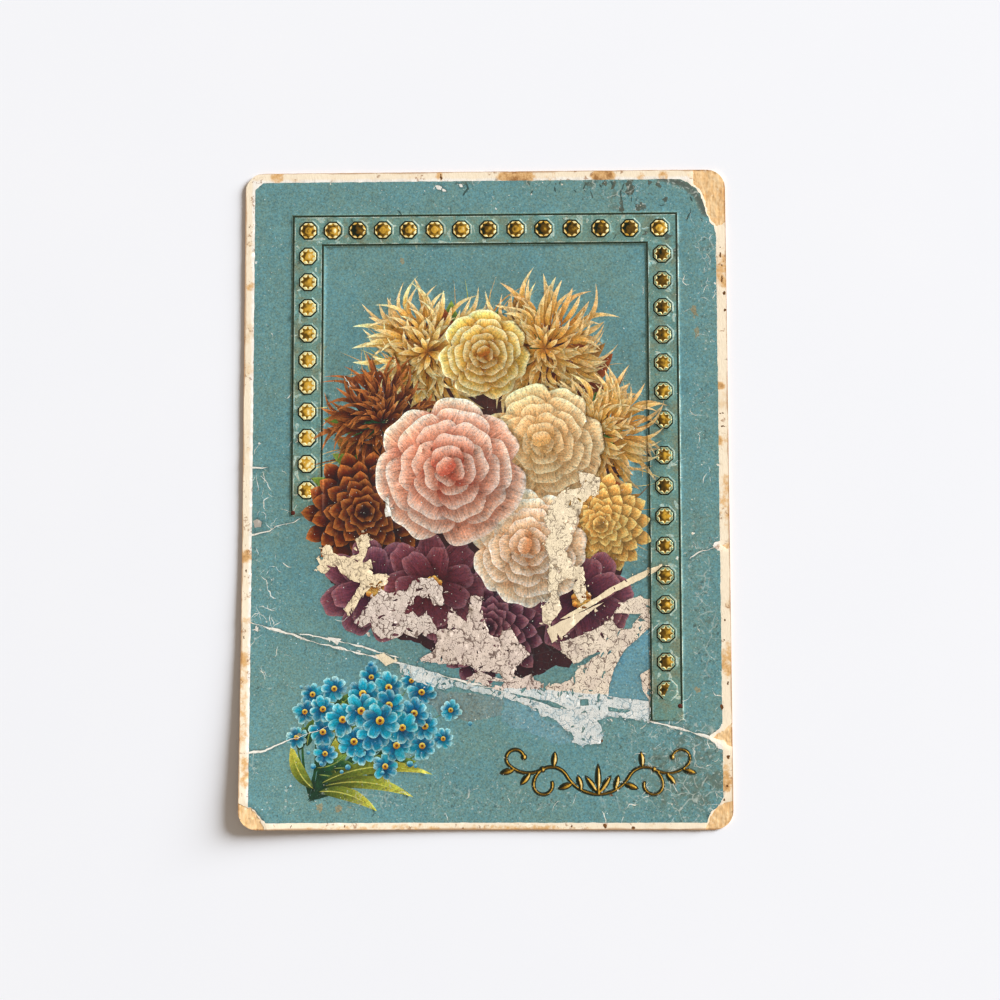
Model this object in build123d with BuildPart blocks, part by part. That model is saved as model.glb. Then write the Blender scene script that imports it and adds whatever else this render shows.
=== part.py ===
"""Old embossed picture postcard: pasted paper plies, a colour print, gilt border work and a lifted corner.

The card lies on its back. The origin is at the middle of the back face, +Z points out of the
picture side, +Y to the top of the picture and +X to its right. All sizes are in millimetres.
"""
import os
from math import cos, degrees, hypot, radians, sin

from build123d import *

# Card
CARD_WIDTH = 88.9
CARD_HEIGHT = 120.65
CORNER_RADIUS = 3.4

# Thickness of each layer, from the back to the picture
BACK_LINER = 0.10
REAR_MIDDLE = 0.16
FRONT_MIDDLE = 0.16
FRONT_LINER = 0.10
PRINT_FILM = 0.03

# Lower left corner, lifted about a bend line that crosses the left and the bottom edge
CURL_RADIUS = 400.0
CURL_LEFT_RISE = 60.3
CURL_BOTTOM_REACH = 49.4

# Printed panel, with bare paper around it
PANEL_SIDE_MARGIN = 1.8
PANEL_TOP_MARGIN = 1.75
PANEL_BOTTOM_MARGIN = 1.25
PANEL_RADIUS = 1.6

# Embossed border band: an arch with a short left leg and a long right leg
BAND_SIDE_INSET = 8.7
BAND_TOP_INSET = 7.85
BAND_WIDTH = 6.15
EMBOSS_RISE = 0.10
EMBOSS_TAPER = 45.0

# Gilt rules along both edges of the band, the outer one ending in dots
RULE_WIDTH = 0.28
RULE_RISE = 0.03
RULE_INSET = 0.22
RIGHT_RULE_SHORT = 2.1
RULE_DOT_RADIUS = 0.42

# Gilt rosettes along the middle of the band
ROSETTE_WIDTH = 3.44
ROSETTE_RISE = 0.14
ROSETTE_TAPER = 40.0
ROSETTE_POINTS = 8
STAR_POINT_RADIUS = 1.36
STAR_WAIST_RADIUS = 1.02
STAR_DEPTH = 0.07
STUD_RADIUS = 0.62
STUD_RISE = 0.05
STUD_TAPER = 60.0

# Places of the rosettes: mean pitches, and the last ones of the two legs above the bottom edge
TOP_PITCH = 5.0
TOP_ROW_SHORT = 0.45
SIDE_PITCH = 4.95
LOWER_PITCH = 5.3
LEFT_LAST_RISE = 61.4
RIGHT_UPPER_RUN = 35.7
RIGHT_SKIP = 6.55
RIGHT_LAST_RISE = 24.9
LEFT_FOOT = 4.8
RIGHT_FOOT = 5.6

# How much the hand-set pitch widens along a run, as a share of it
TOP_GROWTH_SHARE = 0.10
UPPER_GROWTH_SHARE = 0.05
LOWER_GROWTH_SHARE = -0.06

# Gilt scroll ornament, low on the right: stems of tangent arcs, leaves and berries
SCROLL_RIGHT_INSET = 24.2
SCROLL_BOTTOM_INSET = 10.2
SCROLL_STROKE = 0.40
SCROLL_RELIEF = 0.05
STEM_DROP = 3.9
STEM_RADIUS = 6.5
STEM_ANGLE = 60
VOLUTE_RADIUS = 3.2
VOLUTE_ANGLE = -150
VOLUTE_END_RADIUS = 1.7
VOLUTE_END_ANGLE = -200
BRANCH_SHARE = 0.6
BRANCH_RADIUS = 5.0
BRANCH_ANGLE = 75
BRANCH_END_RADIUS = 1.6
BRANCH_END_ANGLE = 215
BERRY_RADIUS = 0.42
LEAF_LENGTH = 2.7
LEAF_WIDTH = 0.9
MIDDLE_LEAF_LENGTH = 5.4
SIDE_LEAF_LENGTH = 4.0
SIDE_LEAF_ANGLE = 55

# Leaves on each arc of the scroll: share of the way along it, and direction in degrees
STEM_LEAVES = ((0.45, 75), (0.75, -20))
VOLUTE_LEAVES = ((0.35, 95),)
BRANCH_LEAVES = ((0.35, -50), (0.80, -15))

# Crack where the card was folded across: its height on the left and right edges
CREASE_LEFT_RISE = 37.5
CREASE_RIGHT_RISE = 14.9
CREASE_WIDTH = 0.30
CREASE_END_CLEAR = 5.2

# Back print: the dividing line and the stamp box
INK_DEPTH = 0.02
DIVIDER_LENGTH = 54.0
DIVIDER_WIDTH = 0.35
STAMP_WIDTH = 19.0
STAMP_LENGTH = 22.0
STAMP_LINE = 0.30
STAMP_INSET = 5.0

# Torn places in the front liner, as offsets from the nearest corner, and the bare fringe beside them
TEAR_FRINGE = 0.50
EDGE_CLEAR = 1.0
TOP_RIGHT_TEAR = (
    (-5.9, EDGE_CLEAR),
    (-5.8, -2.2),
    (-3.8, -4.5),
    (-2.9, -8.2),
    (-1.3, -11.1),
    (EDGE_CLEAR, -11.5),
    (EDGE_CLEAR, EDGE_CLEAR),
)
BOTTOM_RIGHT_TEAR = (
    (EDGE_CLEAR, 5.6),
    (-1.9, 4.7),
    (-3.6, 3.2),
    (-4.6, 1.0),
    (-5.6, -EDGE_CLEAR),
    (EDGE_CLEAR, -EDGE_CLEAR),
)
BOTTOM_LEFT_TEAR = (
    (-EDGE_CLEAR, -EDGE_CLEAR),
    (4.7, -EDGE_CLEAR),
    (4.7, 0.6),
    (3.7, 2.4),
    (2.2, 3.9),
    (-EDGE_CLEAR, 5.6),
)
LOWER_RIGHT_CHIP = ((EDGE_CLEAR, 19.3), (-2.8, 17.2), (-2.6, 16.2), (EDGE_CLEAR, 15.2))
UPPER_RIGHT_CHIP = ((EDGE_CLEAR, 52.5), (-2.2, 51.0), (EDGE_CLEAR, 49.6))

# Levels of the layers on the flat part of the card
level_1 = BACK_LINER
level_2 = level_1 + REAR_MIDDLE
level_3 = level_2 + FRONT_MIDDLE
level_4 = level_3 + FRONT_LINER
level_5 = level_4 + PRINT_FILM
band_level = level_5 + EMBOSS_RISE

# Edges of the card and of the border band
right_edge = CARD_WIDTH / 2
left_edge = -right_edge
top_edge = CARD_HEIGHT / 2
bottom_edge = -top_edge
band_half = right_edge - BAND_SIDE_INSET
band_top = top_edge - BAND_TOP_INSET
row_half = band_half - BAND_WIDTH / 2
row_top = band_top - BAND_WIDTH / 2
left_last = bottom_edge + LEFT_LAST_RISE
right_last = bottom_edge + RIGHT_LAST_RISE
left_foot = left_last - LEFT_FOOT
right_foot = right_last - RIGHT_FOOT

# Bend plane: its X runs square to the bend line towards the lifted corner, its Y is up
span = CARD_WIDTH + CARD_HEIGHT
bend_length = hypot(CURL_LEFT_RISE, CURL_BOTTOM_REACH)
corner_depth = CURL_LEFT_RISE * CURL_BOTTOM_REACH / bend_length
curl_angle = degrees((corner_depth + EDGE_CLEAR) / CURL_RADIUS)
bend_normal = Vector(-CURL_LEFT_RISE / bend_length, -CURL_BOTTOM_REACH / bend_length, 0)
bend_plane = Plane(
    origin=(left_edge, bottom_edge + CURL_LEFT_RISE, 0),
    x_dir=bend_normal,
    z_dir=(bend_normal.Y, -bend_normal.X, 0),
)


def layer_section(bottom, top):
    """Section of one layer across the bend line: flat, then rising along an arc."""
    centre = (0, CURL_RADIUS)
    with BuildSketch(bend_plane) as section:
        with BuildLine():
            under = CenterArc(centre, CURL_RADIUS - bottom, -90, curl_angle)
            over = CenterArc(centre, CURL_RADIUS - top, -90, curl_angle)
            Line(under @ 1, over @ 1)
            Polyline(over @ 0, (-span, top), (-span, bottom), under @ 0)
        make_face()
    return section.sketch


def torn_places(fringe):
    """All torn places of the front liner, grown by a fringe."""
    with BuildSketch(Plane.XY.offset(-EDGE_CLEAR)) as torn:
        with Locations((right_edge, top_edge)):
            Polygon(*TOP_RIGHT_TEAR, align=None)
        with Locations((right_edge, bottom_edge)):
            Polygon(*BOTTOM_RIGHT_TEAR, align=None)
            Polygon(*LOWER_RIGHT_CHIP, align=None)
            Polygon(*UPPER_RIGHT_CHIP, align=None)
        with Locations((left_edge, bottom_edge)):
            Polygon(*BOTTOM_LEFT_TEAR, align=None)
        if fringe > 0:
            offset(amount=fringe, kind=Kind.INTERSECTION)
    return torn.sketch


def card_outline():
    """Outline of the whole card."""
    with BuildSketch(Plane.XY.offset(-EDGE_CLEAR)) as outline:
        RectangleRounded(CARD_WIDTH, CARD_HEIGHT, CORNER_RADIUS)
    return outline.sketch


def panel_outline():
    """Outline of the printed panel."""
    width = CARD_WIDTH - 2 * PANEL_SIDE_MARGIN
    height = CARD_HEIGHT - PANEL_TOP_MARGIN - PANEL_BOTTOM_MARGIN
    with BuildSketch(Plane.XY.offset(-EDGE_CLEAR)) as outline:
        with Locations((0, (PANEL_BOTTOM_MARGIN - PANEL_TOP_MARGIN) / 2)):
            RectangleRounded(width, height, PANEL_RADIUS)
    return outline.sketch


def crease_line():
    """Narrow crack along the fold, ending inside the printed panel."""
    left_rise = bottom_edge + CREASE_LEFT_RISE
    right_rise = bottom_edge + CREASE_RIGHT_RISE
    start = Vector(left_edge, left_rise)
    end = Vector(right_edge, right_rise)
    along = (end - start).normalized() * CREASE_END_CLEAR
    with BuildSketch(Plane.XY.offset(-EDGE_CLEAR)) as crease:
        with BuildLine():
            Line(start + along, end - along)
        trace(line_width=CREASE_WIDTH)
    return crease.sketch


def arch(level, half, top, left, right, thickness):
    """Arch of even thickness, open at the bottom, with its legs ending at two heights."""
    inner = half - thickness
    with BuildSketch(Plane.XY.offset(level)) as shape:
        with BuildLine():
            Polyline(
                (-half, left),
                (-inner, left),
                (-inner, top - thickness),
                (inner, top - thickness),
                (inner, right),
                (half, right),
                (half, top),
                (-half, top),
                close=True,
            )
        make_face()
    return shape.sketch


def band(level):
    """The embossed border band, at the level where it rises from the flat."""
    return arch(level, band_half, band_top, left_foot, right_foot, BAND_WIDTH)


def stations(length, pitch, growth):
    """Distances along a run, near the pitch and widening by the growth, with the last one at its end."""
    count = max(1, round(length / pitch))
    shares = [(step + 1) / count for step in range(count)]
    return [length * (share - growth * share * (1 - share)) for share in shares]


def star():
    """Corners of the star sunk in a rosette, with its points towards the flats."""
    corners = []
    for step in range(2 * ROSETTE_POINTS):
        radius = STAR_WAIST_RADIUS if step % 2 else STAR_POINT_RADIUS
        angle = radians(180 * step / ROSETTE_POINTS)
        corners.append((radius * cos(angle), radius * sin(angle)))
    return corners


def rosettes(places):
    """Raised octagons with a sunk star and a low stud, standing on the border band."""
    flat_turn = 180 / ROSETTE_POINTS
    floor = band_level + ROSETTE_RISE - STAR_DEPTH
    with BuildPart() as group:
        with BuildSketch(Plane.XY.offset(band_level)):
            with Locations(*places):
                RegularPolygon(ROSETTE_WIDTH / 2, ROSETTE_POINTS, major_radius=False, rotation=flat_turn)
        extrude(amount=ROSETTE_RISE, taper=ROSETTE_TAPER)
        with BuildSketch(Plane.XY.offset(floor)):
            with Locations(*places):
                Polygon(*star(), align=None)
        extrude(amount=STAR_DEPTH, mode=Mode.SUBTRACT)
        with BuildSketch(Plane.XY.offset(floor)):
            with Locations(*places):
                RegularPolygon(STUD_RADIUS, ROSETTE_POINTS)
        extrude(amount=STUD_RISE, taper=STUD_TAPER)
    return group


def leaf(place, angle, length):
    """Pointed leaf that starts at a place and points along an angle."""
    with Locations(Location(place, angle)):
        with BuildSketch(mode=Mode.PRIVATE) as blade:
            with BuildLine():
                ThreePointArc((0, 0), (length / 2, LEAF_WIDTH / 2), (length, 0))
                ThreePointArc((length, 0), (length / 2, -LEAF_WIDTH / 2), (0, 0))
            make_face()
        add(blade.sketch)


def scroll_ornament():
    """Leafy scroll, drawn on its right half and mirrored."""
    place = (right_edge - SCROLL_RIGHT_INSET, bottom_edge + SCROLL_BOTTOM_INSET, level_5)
    foot = (0, -STEM_DROP)
    with BuildSketch(Plane(origin=place)) as ornament:
        with BuildLine():
            stem = JernArc(foot, (1, 0), STEM_RADIUS, STEM_ANGLE)
            volute = JernArc(stem @ 1, stem % 1, VOLUTE_RADIUS, VOLUTE_ANGLE)
            JernArc(volute @ 1, volute % 1, VOLUTE_END_RADIUS, VOLUTE_END_ANGLE)
            branch = JernArc(volute @ BRANCH_SHARE, volute % BRANCH_SHARE, BRANCH_RADIUS, BRANCH_ANGLE)
            hook = JernArc(branch @ 1, branch % 1, BRANCH_END_RADIUS, BRANCH_END_ANGLE)
        trace(line_width=SCROLL_STROKE)
        for arc, leaves in ((stem, STEM_LEAVES), (volute, VOLUTE_LEAVES), (branch, BRANCH_LEAVES)):
            for share, angle in leaves:
                leaf(arc @ share, angle, LEAF_LENGTH)
        leaf(foot, SIDE_LEAF_ANGLE, SIDE_LEAF_LENGTH)
        with Locations(volute @ BRANCH_SHARE, hook @ 1):
            Circle(BERRY_RADIUS)
        mirror(about=Plane.YZ)
        leaf(foot, 90, MIDDLE_LEAF_LENGTH)
    return ornament.sketch


def back_lines():
    """Lines printed on the back: the divider and the stamp box."""
    stamp_x = left_edge + STAMP_INSET + STAMP_WIDTH / 2
    stamp_y = bottom_edge + STAMP_INSET + STAMP_LENGTH / 2
    with BuildSketch(Plane.XY.offset(-EDGE_CLEAR)) as lines:
        Rectangle(DIVIDER_LENGTH, DIVIDER_WIDTH)
        with Locations((stamp_x, stamp_y)):
            Rectangle(STAMP_WIDTH, STAMP_LENGTH)
            Rectangle(STAMP_WIDTH - 2 * STAMP_LINE, STAMP_LENGTH - 2 * STAMP_LINE, mode=Mode.SUBTRACT)
    return lines.sketch


# Back print: ink lines let flush into the back liner
with BuildPart() as back_print:
    extrude(layer_section(0, INK_DEPTH), amount=span, both=True)
    extrude(back_lines(), amount=span, mode=Mode.INTERSECT)

# Back liner: smooth paper on the address side, dented where the band is embossed
with BuildPart() as back_liner:
    extrude(layer_section(0, level_1), amount=span, both=True)
    extrude(card_outline(), amount=span, mode=Mode.INTERSECT)
    extrude(band(level_1), amount=EMBOSS_RISE, taper=EMBOSS_TAPER)
    extrude(band(0), amount=EMBOSS_RISE, taper=EMBOSS_TAPER, mode=Mode.SUBTRACT)
    add(back_print.part, mode=Mode.SUBTRACT)

# Rear middle: coarse core ply
with BuildPart() as rear_middle:
    extrude(layer_section(level_1, level_2), amount=span, both=True)
    extrude(card_outline(), amount=span, mode=Mode.INTERSECT)
    extrude(band(level_2), amount=EMBOSS_RISE, taper=EMBOSS_TAPER)
    extrude(band(level_1), amount=EMBOSS_RISE, taper=EMBOSS_TAPER, mode=Mode.SUBTRACT)

# Front middle: core ply that shows where the liner is torn away
with BuildPart() as front_middle:
    extrude(layer_section(level_2, level_3), amount=span, both=True)
    extrude(card_outline(), amount=span, mode=Mode.INTERSECT)
    extrude(band(level_3), amount=EMBOSS_RISE, taper=EMBOSS_TAPER)
    extrude(band(level_2), amount=EMBOSS_RISE, taper=EMBOSS_TAPER, mode=Mode.SUBTRACT)

# Front liner: white paper under the print, torn off at three corners and chipped at the right edge
with BuildPart() as front_liner:
    extrude(layer_section(level_3, level_4), amount=span, both=True)
    extrude(card_outline() - torn_places(0), amount=span, mode=Mode.INTERSECT)
    extrude(band(level_4), amount=EMBOSS_RISE, taper=EMBOSS_TAPER)
    extrude(band(level_3), amount=EMBOSS_RISE, taper=EMBOSS_TAPER, mode=Mode.SUBTRACT)

# Colour print: ink and varnish film, cracked along the fold and lost beside the tears
with BuildPart() as colour_print:
    extrude(layer_section(level_4, level_5), amount=span, both=True)
    extrude(
        panel_outline() - torn_places(TEAR_FRINGE) - crease_line(),
        amount=span,
        mode=Mode.INTERSECT,
    )
    extrude(band(level_5), amount=EMBOSS_RISE, taper=EMBOSS_TAPER)
    extrude(band(level_4), amount=EMBOSS_RISE, taper=EMBOSS_TAPER, mode=Mode.SUBTRACT)

# Gilt rules: fine raised lines along the outer and the inner edge of the band
with BuildPart() as gilt_outer_rule:
    outer_half = band_half - RULE_INSET
    outer_top = band_top - RULE_INSET
    outer_left = left_foot + RULE_INSET
    outer_right = right_foot + RULE_INSET + RIGHT_RULE_SHORT
    extrude(
        arch(band_level, outer_half, outer_top, outer_left, outer_right, RULE_WIDTH),
        amount=RULE_RISE,
    )
    dot_x = outer_half - RULE_DOT_RADIUS
    with BuildSketch(Plane.XY.offset(band_level)):
        with Locations((-dot_x, outer_left + RULE_DOT_RADIUS), (dot_x, outer_right + RULE_DOT_RADIUS)):
            Circle(RULE_DOT_RADIUS)
    extrude(amount=RULE_RISE)

with BuildPart() as gilt_inner_rule:
    inner_half = band_half - BAND_WIDTH + RULE_INSET + RULE_WIDTH
    inner_top = band_top - BAND_WIDTH + RULE_INSET + RULE_WIDTH
    inner_left = left_foot + RULE_INSET
    inner_right = right_foot + RULE_INSET
    extrude(
        arch(band_level, inner_half, inner_top, inner_left, inner_right, RULE_WIDTH),
        amount=RULE_RISE,
    )

# Gilt rosettes: the top row with both corners, the left leg, and the right leg in two runs
lower_start = row_top - RIGHT_UPPER_RUN - RIGHT_SKIP
top_run = stations(2 * row_half - TOP_ROW_SHORT, TOP_PITCH, TOP_GROWTH_SHARE)
left_run = stations(row_top - left_last, SIDE_PITCH, 0)
upper_run = stations(RIGHT_UPPER_RUN, SIDE_PITCH, UPPER_GROWTH_SHARE)
lower_run = stations(lower_start - right_last, LOWER_PITCH, LOWER_GROWTH_SHARE)
top_row = [(distance - row_half, row_top) for distance in [0, *top_run]]
left_row = [(-row_half, row_top - distance) for distance in left_run]
right_row = [(row_half, row_top - distance) for distance in upper_run]
right_row += [(row_half, lower_start - distance) for distance in [0, *lower_run]]
gilt_rosettes_top = rosettes(top_row)
gilt_rosettes_left = rosettes(left_row)
gilt_rosettes_right = rosettes(right_row)

# Gilt ornament: a raised leafy scroll on the flat print
with BuildPart() as gilt_ornament:
    extrude(scroll_ornament(), amount=SCROLL_RELIEF)

# Every piece goes to its own file
pieces = {
    "back_print": back_print,
    "back_liner": back_liner,
    "rear_middle": rear_middle,
    "front_middle": front_middle,
    "front_liner": front_liner,
    "colour_print": colour_print,
    "gilt_outer_rule": gilt_outer_rule,
    "gilt_inner_rule": gilt_inner_rule,
    "gilt_rosettes_top": gilt_rosettes_top,
    "gilt_rosettes_left": gilt_rosettes_left,
    "gilt_rosettes_right": gilt_rosettes_right,
    "gilt_ornament": gilt_ornament,
}
os.makedirs("parts", exist_ok=True)
for name, piece in pieces.items():
    piece.part.label = name
    export_step(piece.part, "parts/" + name + ".step")
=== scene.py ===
"""A worn embossed postcard, dressed around its packed layers.

The card lies on its back, +Z up. Its front is one flat triangulation cut along every printed shape, crack
and flake, from which the printed film and the paper under it are raised. Plan sizes are in millimetres.
"""
import math
from dataclasses import dataclass

import bmesh
import bpy
import numpy as np
from mathutils import Matrix, Vector, noise
from mathutils.geometry import delaunay_2d_cdt


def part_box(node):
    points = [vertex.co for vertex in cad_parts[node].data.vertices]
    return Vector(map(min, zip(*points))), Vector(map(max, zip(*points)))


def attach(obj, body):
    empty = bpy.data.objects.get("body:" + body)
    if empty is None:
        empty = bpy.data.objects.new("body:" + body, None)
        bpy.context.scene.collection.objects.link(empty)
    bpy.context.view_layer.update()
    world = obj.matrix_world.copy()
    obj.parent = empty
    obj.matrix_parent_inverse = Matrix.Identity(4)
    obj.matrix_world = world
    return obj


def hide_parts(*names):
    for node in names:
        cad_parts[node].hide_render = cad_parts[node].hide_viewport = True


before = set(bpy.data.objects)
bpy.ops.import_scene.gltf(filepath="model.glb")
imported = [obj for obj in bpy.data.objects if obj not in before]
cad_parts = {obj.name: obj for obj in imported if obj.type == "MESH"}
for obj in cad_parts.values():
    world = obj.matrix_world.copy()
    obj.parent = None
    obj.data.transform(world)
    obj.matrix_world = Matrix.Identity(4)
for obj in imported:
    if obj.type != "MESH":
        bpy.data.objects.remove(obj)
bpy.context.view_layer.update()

MM = 0.001

# The vector noise takes its seed from the clock unless one is set
NOISE_SEED = 5
noise.seed_set(NOISE_SEED)

# The card's own sizes, as its layers have them
card_low, card_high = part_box("back_liner")
HALF_WIDTH = (card_high[0] - card_low[0]) / MM / 2
HALF_HEIGHT = (card_high[1] - card_low[1]) / MM / 2
CORNER_RADIUS = 3.4
MIDDLE_LOW = 0.26
CORE_TOP = 0.42
PAPER_TOP = 0.52
FILM = 0.03
EMBOSS = 0.10
CURL_RADIUS = 400.0
CURL_LEFT_RISE = 60.3
CURL_BOTTOM_REACH = 49.4

# The printed panel inside the paper margin
PANEL_SIDE = 1.8
PANEL_TOP = 1.75
PANEL_BOTTOM = 1.25
PANEL_RADIUS = 1.6
panel_half = HALF_WIDTH - PANEL_SIDE
panel_top = HALF_HEIGHT - PANEL_TOP
panel_bottom = PANEL_BOTTOM - HALF_HEIGHT

# The embossed border band, open at the bottom
BAND_HALF = 35.75
BAND_TOP = 52.475
BAND_WIDTH = 6.15
BAND_LEFT_FOOT = -3.725
BAND_RIGHT_FOOT = -41.025
RULE_WIDTH = 0.28
RULE_RISE = 0.03
RULE_INSET = 0.22
RIGHT_RULE_SHORT = 2.1
RULE_DOT = 0.42
inner_half = BAND_HALF - BAND_WIDTH
inner_top = BAND_TOP - BAND_WIDTH
rule_left_end = BAND_LEFT_FOOT + RULE_INSET
rule_right_end = BAND_RIGHT_FOOT + RULE_INSET

# Photograph's camera, fitted to the card's edges: turn in degrees, place, and focal length in pixels
CAMERA_TURN = (5.368, 1.613, -0.206)
CAMERA_PLACE = (12.366, -33.14, 343.646)
CAMERA_FOCUS = 1889.5
PICTURE_SIZE = 1000
SENSOR = 36.0


def srgb(red, green, blue):
    """Linear colour from the usual 0 to 255 values."""
    share = np.array([red, green, blue]) / 255
    return np.where(share <= 0.04045, share / 12.92, ((share + 0.055) / 1.055) ** 2.4)


def direction(angle):
    return np.array([math.cos(angle), math.sin(angle)])


def sideways(vector):
    return np.array([-vector[1], vector[0]])


def mixed(first, second, share):
    return np.asarray(first) * (1 - share) + np.asarray(second) * share


def smooth(values, low, high):
    share = np.clip((values - low) / (high - low), 0, 1)
    return share * share * (3 - 2 * share)


def camera_turn():
    turn = Vector(CAMERA_TURN)
    return Matrix.Rotation(math.radians(turn.length), 4, turn.normalized())


def on_card(places):
    """Plan places of the card's front that the photograph shows at these pixels."""
    eye = camera_turn().to_3x3()
    found = []
    for x, y in places:
        ray = eye @ Vector((x - PICTURE_SIZE / 2, PICTURE_SIZE / 2 - y, -CAMERA_FOCUS))
        reach = (PAPER_TOP + FILM - CAMERA_PLACE[2]) / ray.z
        found.append((CAMERA_PLACE[0] + reach * ray.x, CAMERA_PLACE[1] + reach * ray.y))
    return np.array(found)


# Outlines

def divided(outline, step):
    """The closed outline with points added so that no side is longer than the step."""
    points = []
    for start, end in zip(outline, np.roll(outline, -1, axis=0)):
        count = max(1, math.ceil(math.dist(start, end) / step))
        points += [start + (end - start) * i / count for i in range(count)]
    return np.array(points)


def ragged(outline, step, depth, grain, seed):
    """The outline divided and shaken at two scales, as torn paper or flaked ink is."""
    points = divided(np.asarray(outline, float), step)
    for size, share in ((grain, 0.7), (grain / 3.2, 0.3)):
        shake = [noise.noise_vector((x / size, y / size, seed))[:2] for x, y in points]
        points = points + 2 * depth * share * np.array(shake)
    return points


def rounded_box(left, bottom, right, top, radius):
    outline = []
    for x, y, start in ((right - radius, bottom + radius, -90), (right - radius, top - radius, 0),
                        (left + radius, top - radius, 90), (left + radius, bottom + radius, 180)):
        for angle in np.radians(np.linspace(start, start + 90, 7)):
            outline.append(np.array([x, y]) + radius * direction(angle))
    return np.array(outline)


def blade(base, tip, half, bend=0.0, belly=0.8, teeth=0, step=0.7):
    """A pointed petal, leaf or stroke from base to tip, with its widest place set by belly."""
    base = np.asarray(base, float)
    along = np.asarray(tip, float) - base
    length = math.hypot(*along)
    across = sideways(along / length)
    count = max(5, round(length / step))
    t = np.linspace(0, 1, count + 1)
    width = half * np.sin(math.pi * t ** belly) ** 0.85
    if teeth:
        width = width * (1 + 0.16 * np.abs(np.sin(math.pi * teeth * t)) - 0.08)
    middle = base + np.outer(t, along) + np.outer(4 * bend * t * (1 - t), across)
    left = middle + np.outer(width, across)
    right = middle - np.outer(width, across)
    return np.vstack([right, left[-2:0:-1]])


def round_petal(middle, angle, deep, wide, ruffle, phase, step=0.55):
    """A broad petal with a ruffled, slightly notched outer edge."""
    count = max(14, round(math.pi * (deep + wide) / step))
    turn = np.linspace(0, 2 * math.pi, count, endpoint=False)
    edge = 1 + ruffle * (np.sin(3 * turn + phase) + 0.6 * np.sin(7 * turn + 2 * phase))
    from_tip = np.minimum(turn, 2 * math.pi - turn)
    edge = edge - 0.09 * np.exp(-(from_tip / 0.3) ** 2)
    away = direction(angle)
    x = np.sign(np.cos(turn)) * np.abs(np.cos(turn)) ** 0.85 * deep * edge
    y = np.sign(np.sin(turn)) * np.abs(np.sin(turn)) ** 0.85 * wide * edge
    return np.asarray(middle) + np.outer(x, away) + np.outer(y, sideways(away))


def disc(middle, radius, count=10):
    turn = np.linspace(0, 2 * math.pi, count, endpoint=False)
    return np.asarray(middle) + radius * np.column_stack([np.cos(turn), np.sin(turn)])


def blot(middle, radius, stretch, angle, seed):
    """An irregular patch, as flaked ink leaves."""
    phase = np.random.default_rng(seed).uniform(0, 2 * math.pi, 4)
    count = max(9, round(6.3 * radius / 0.5))
    turn = np.linspace(0, 2 * math.pi, count, endpoint=False)
    reach = 1 + sum(depth * np.sin(lobes * turn + phase[i])
                    for i, (lobes, depth) in enumerate(((2, 0.24), (3, 0.20), (5, 0.14), (8, 0.10))))
    along = direction(math.radians(angle))
    x = radius * reach * np.cos(turn) * stretch
    y = radius * reach * np.sin(turn) / stretch
    points = np.asarray(middle) + np.outer(x, along) + np.outer(y, sideways(along))
    return ragged(points, 0.45, 0.22, 0.9, seed)


def fissure(path, width, seed, step=0.6):
    """A crack along a path, of uneven width, pointed at both ends."""
    path = np.asarray(path, float)
    line = []
    for start, end in zip(path[:-1], path[1:]):
        count = max(1, round(math.dist(start, end) / step))
        line += [start + (end - start) * i / count for i in range(count)]
    line = np.array(line + [path[-1]])
    for size, depth in ((1.5, 0.2), (0.5, 0.1)):
        shake = [noise.noise_vector((x / size, y / size, seed))[:2] for x, y in line]
        line = line + depth * np.array(shake)
    tangent = np.gradient(line, axis=0)
    tangent = tangent / np.linalg.norm(tangent, axis=1)[:, None]
    across = np.column_stack([-tangent[:, 1], tangent[:, 0]])
    spread = [noise.noise((x / 2.2, y / 2.2, seed + 7.5)) for x, y in line]
    half = width / 2 * np.clip(0.75 + 1.3 * np.array(spread), 0.25, 1.6)
    half = half * np.clip(np.minimum(np.arange(len(line)), np.arange(len(line))[::-1]) / 2, 0, 1)
    left = line + across * half[:, None]
    right = line - across * half[:, None]
    return np.vstack([right, left[-2:0:-1]])


TEST_CHUNK = 2_000_000


def odd_crossings(points, starts, ends):
    """Which points have an odd number of the sides to their right."""
    result = np.zeros(len(points), bool)
    level = starts[:, 1] == ends[:, 1]
    slope = (ends[:, 0] - starts[:, 0]) / np.where(level, 1, ends[:, 1] - starts[:, 1])
    for part in np.array_split(np.arange(len(points)), 1 + len(points) * len(starts) // TEST_CHUNK):
        x, y = points[part, 0, None], points[part, 1, None]
        across = (starts[:, 1] > y) != (ends[:, 1] > y)
        right = x < starts[:, 0] + (y - starts[:, 1]) * slope
        result[part] = np.count_nonzero(across & right, axis=1) % 2 == 1
    return result


def in_box(points, low, high):
    x, y = points[:, 0], points[:, 1]
    return np.nonzero((x > low[0]) & (x < high[0]) & (y > low[1]) & (y < high[1]))[0]


def inside(points, outline):
    """Which points lie within the closed outline."""
    result = np.zeros(len(points), bool)
    near = in_box(points, outline.min(axis=0), outline.max(axis=0))
    if len(near):
        result[near] = odd_crossings(points[near], outline, np.roll(outline, -1, axis=0))
    return result


def inside_any(points, outlines):
    result = np.zeros(len(points), bool)
    for outline in outlines:
        result |= inside(points, outline)
    return result


def line_distance(points, line, closed=False):
    """Distance from each point to the nearest place on the line."""
    line = np.asarray(line, float)
    ends = np.roll(line, -1, axis=0) if closed else line[1:]
    best = np.full(len(points), np.inf)
    for start, end in zip(line, ends):
        side = end - start
        share = np.clip((points - start) @ side / max(side @ side, 1e-9), 0, 1)
        best = np.minimum(best, np.linalg.norm(points - start - np.outer(share, side), axis=1))
    return best


# Printed shapes

# Direction of the light drawn in the picture, and how far it brightens a flower's near side
PICTURE_LIGHT = direction(math.radians(120))
LIT_GAIN = 0.30
DARKEST = 0.003
# Share of the drawn relief that is embossed, and how far in from its outline a shape bulges
RELIEF = 0.5
BULGE_REACH = 0.6
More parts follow.
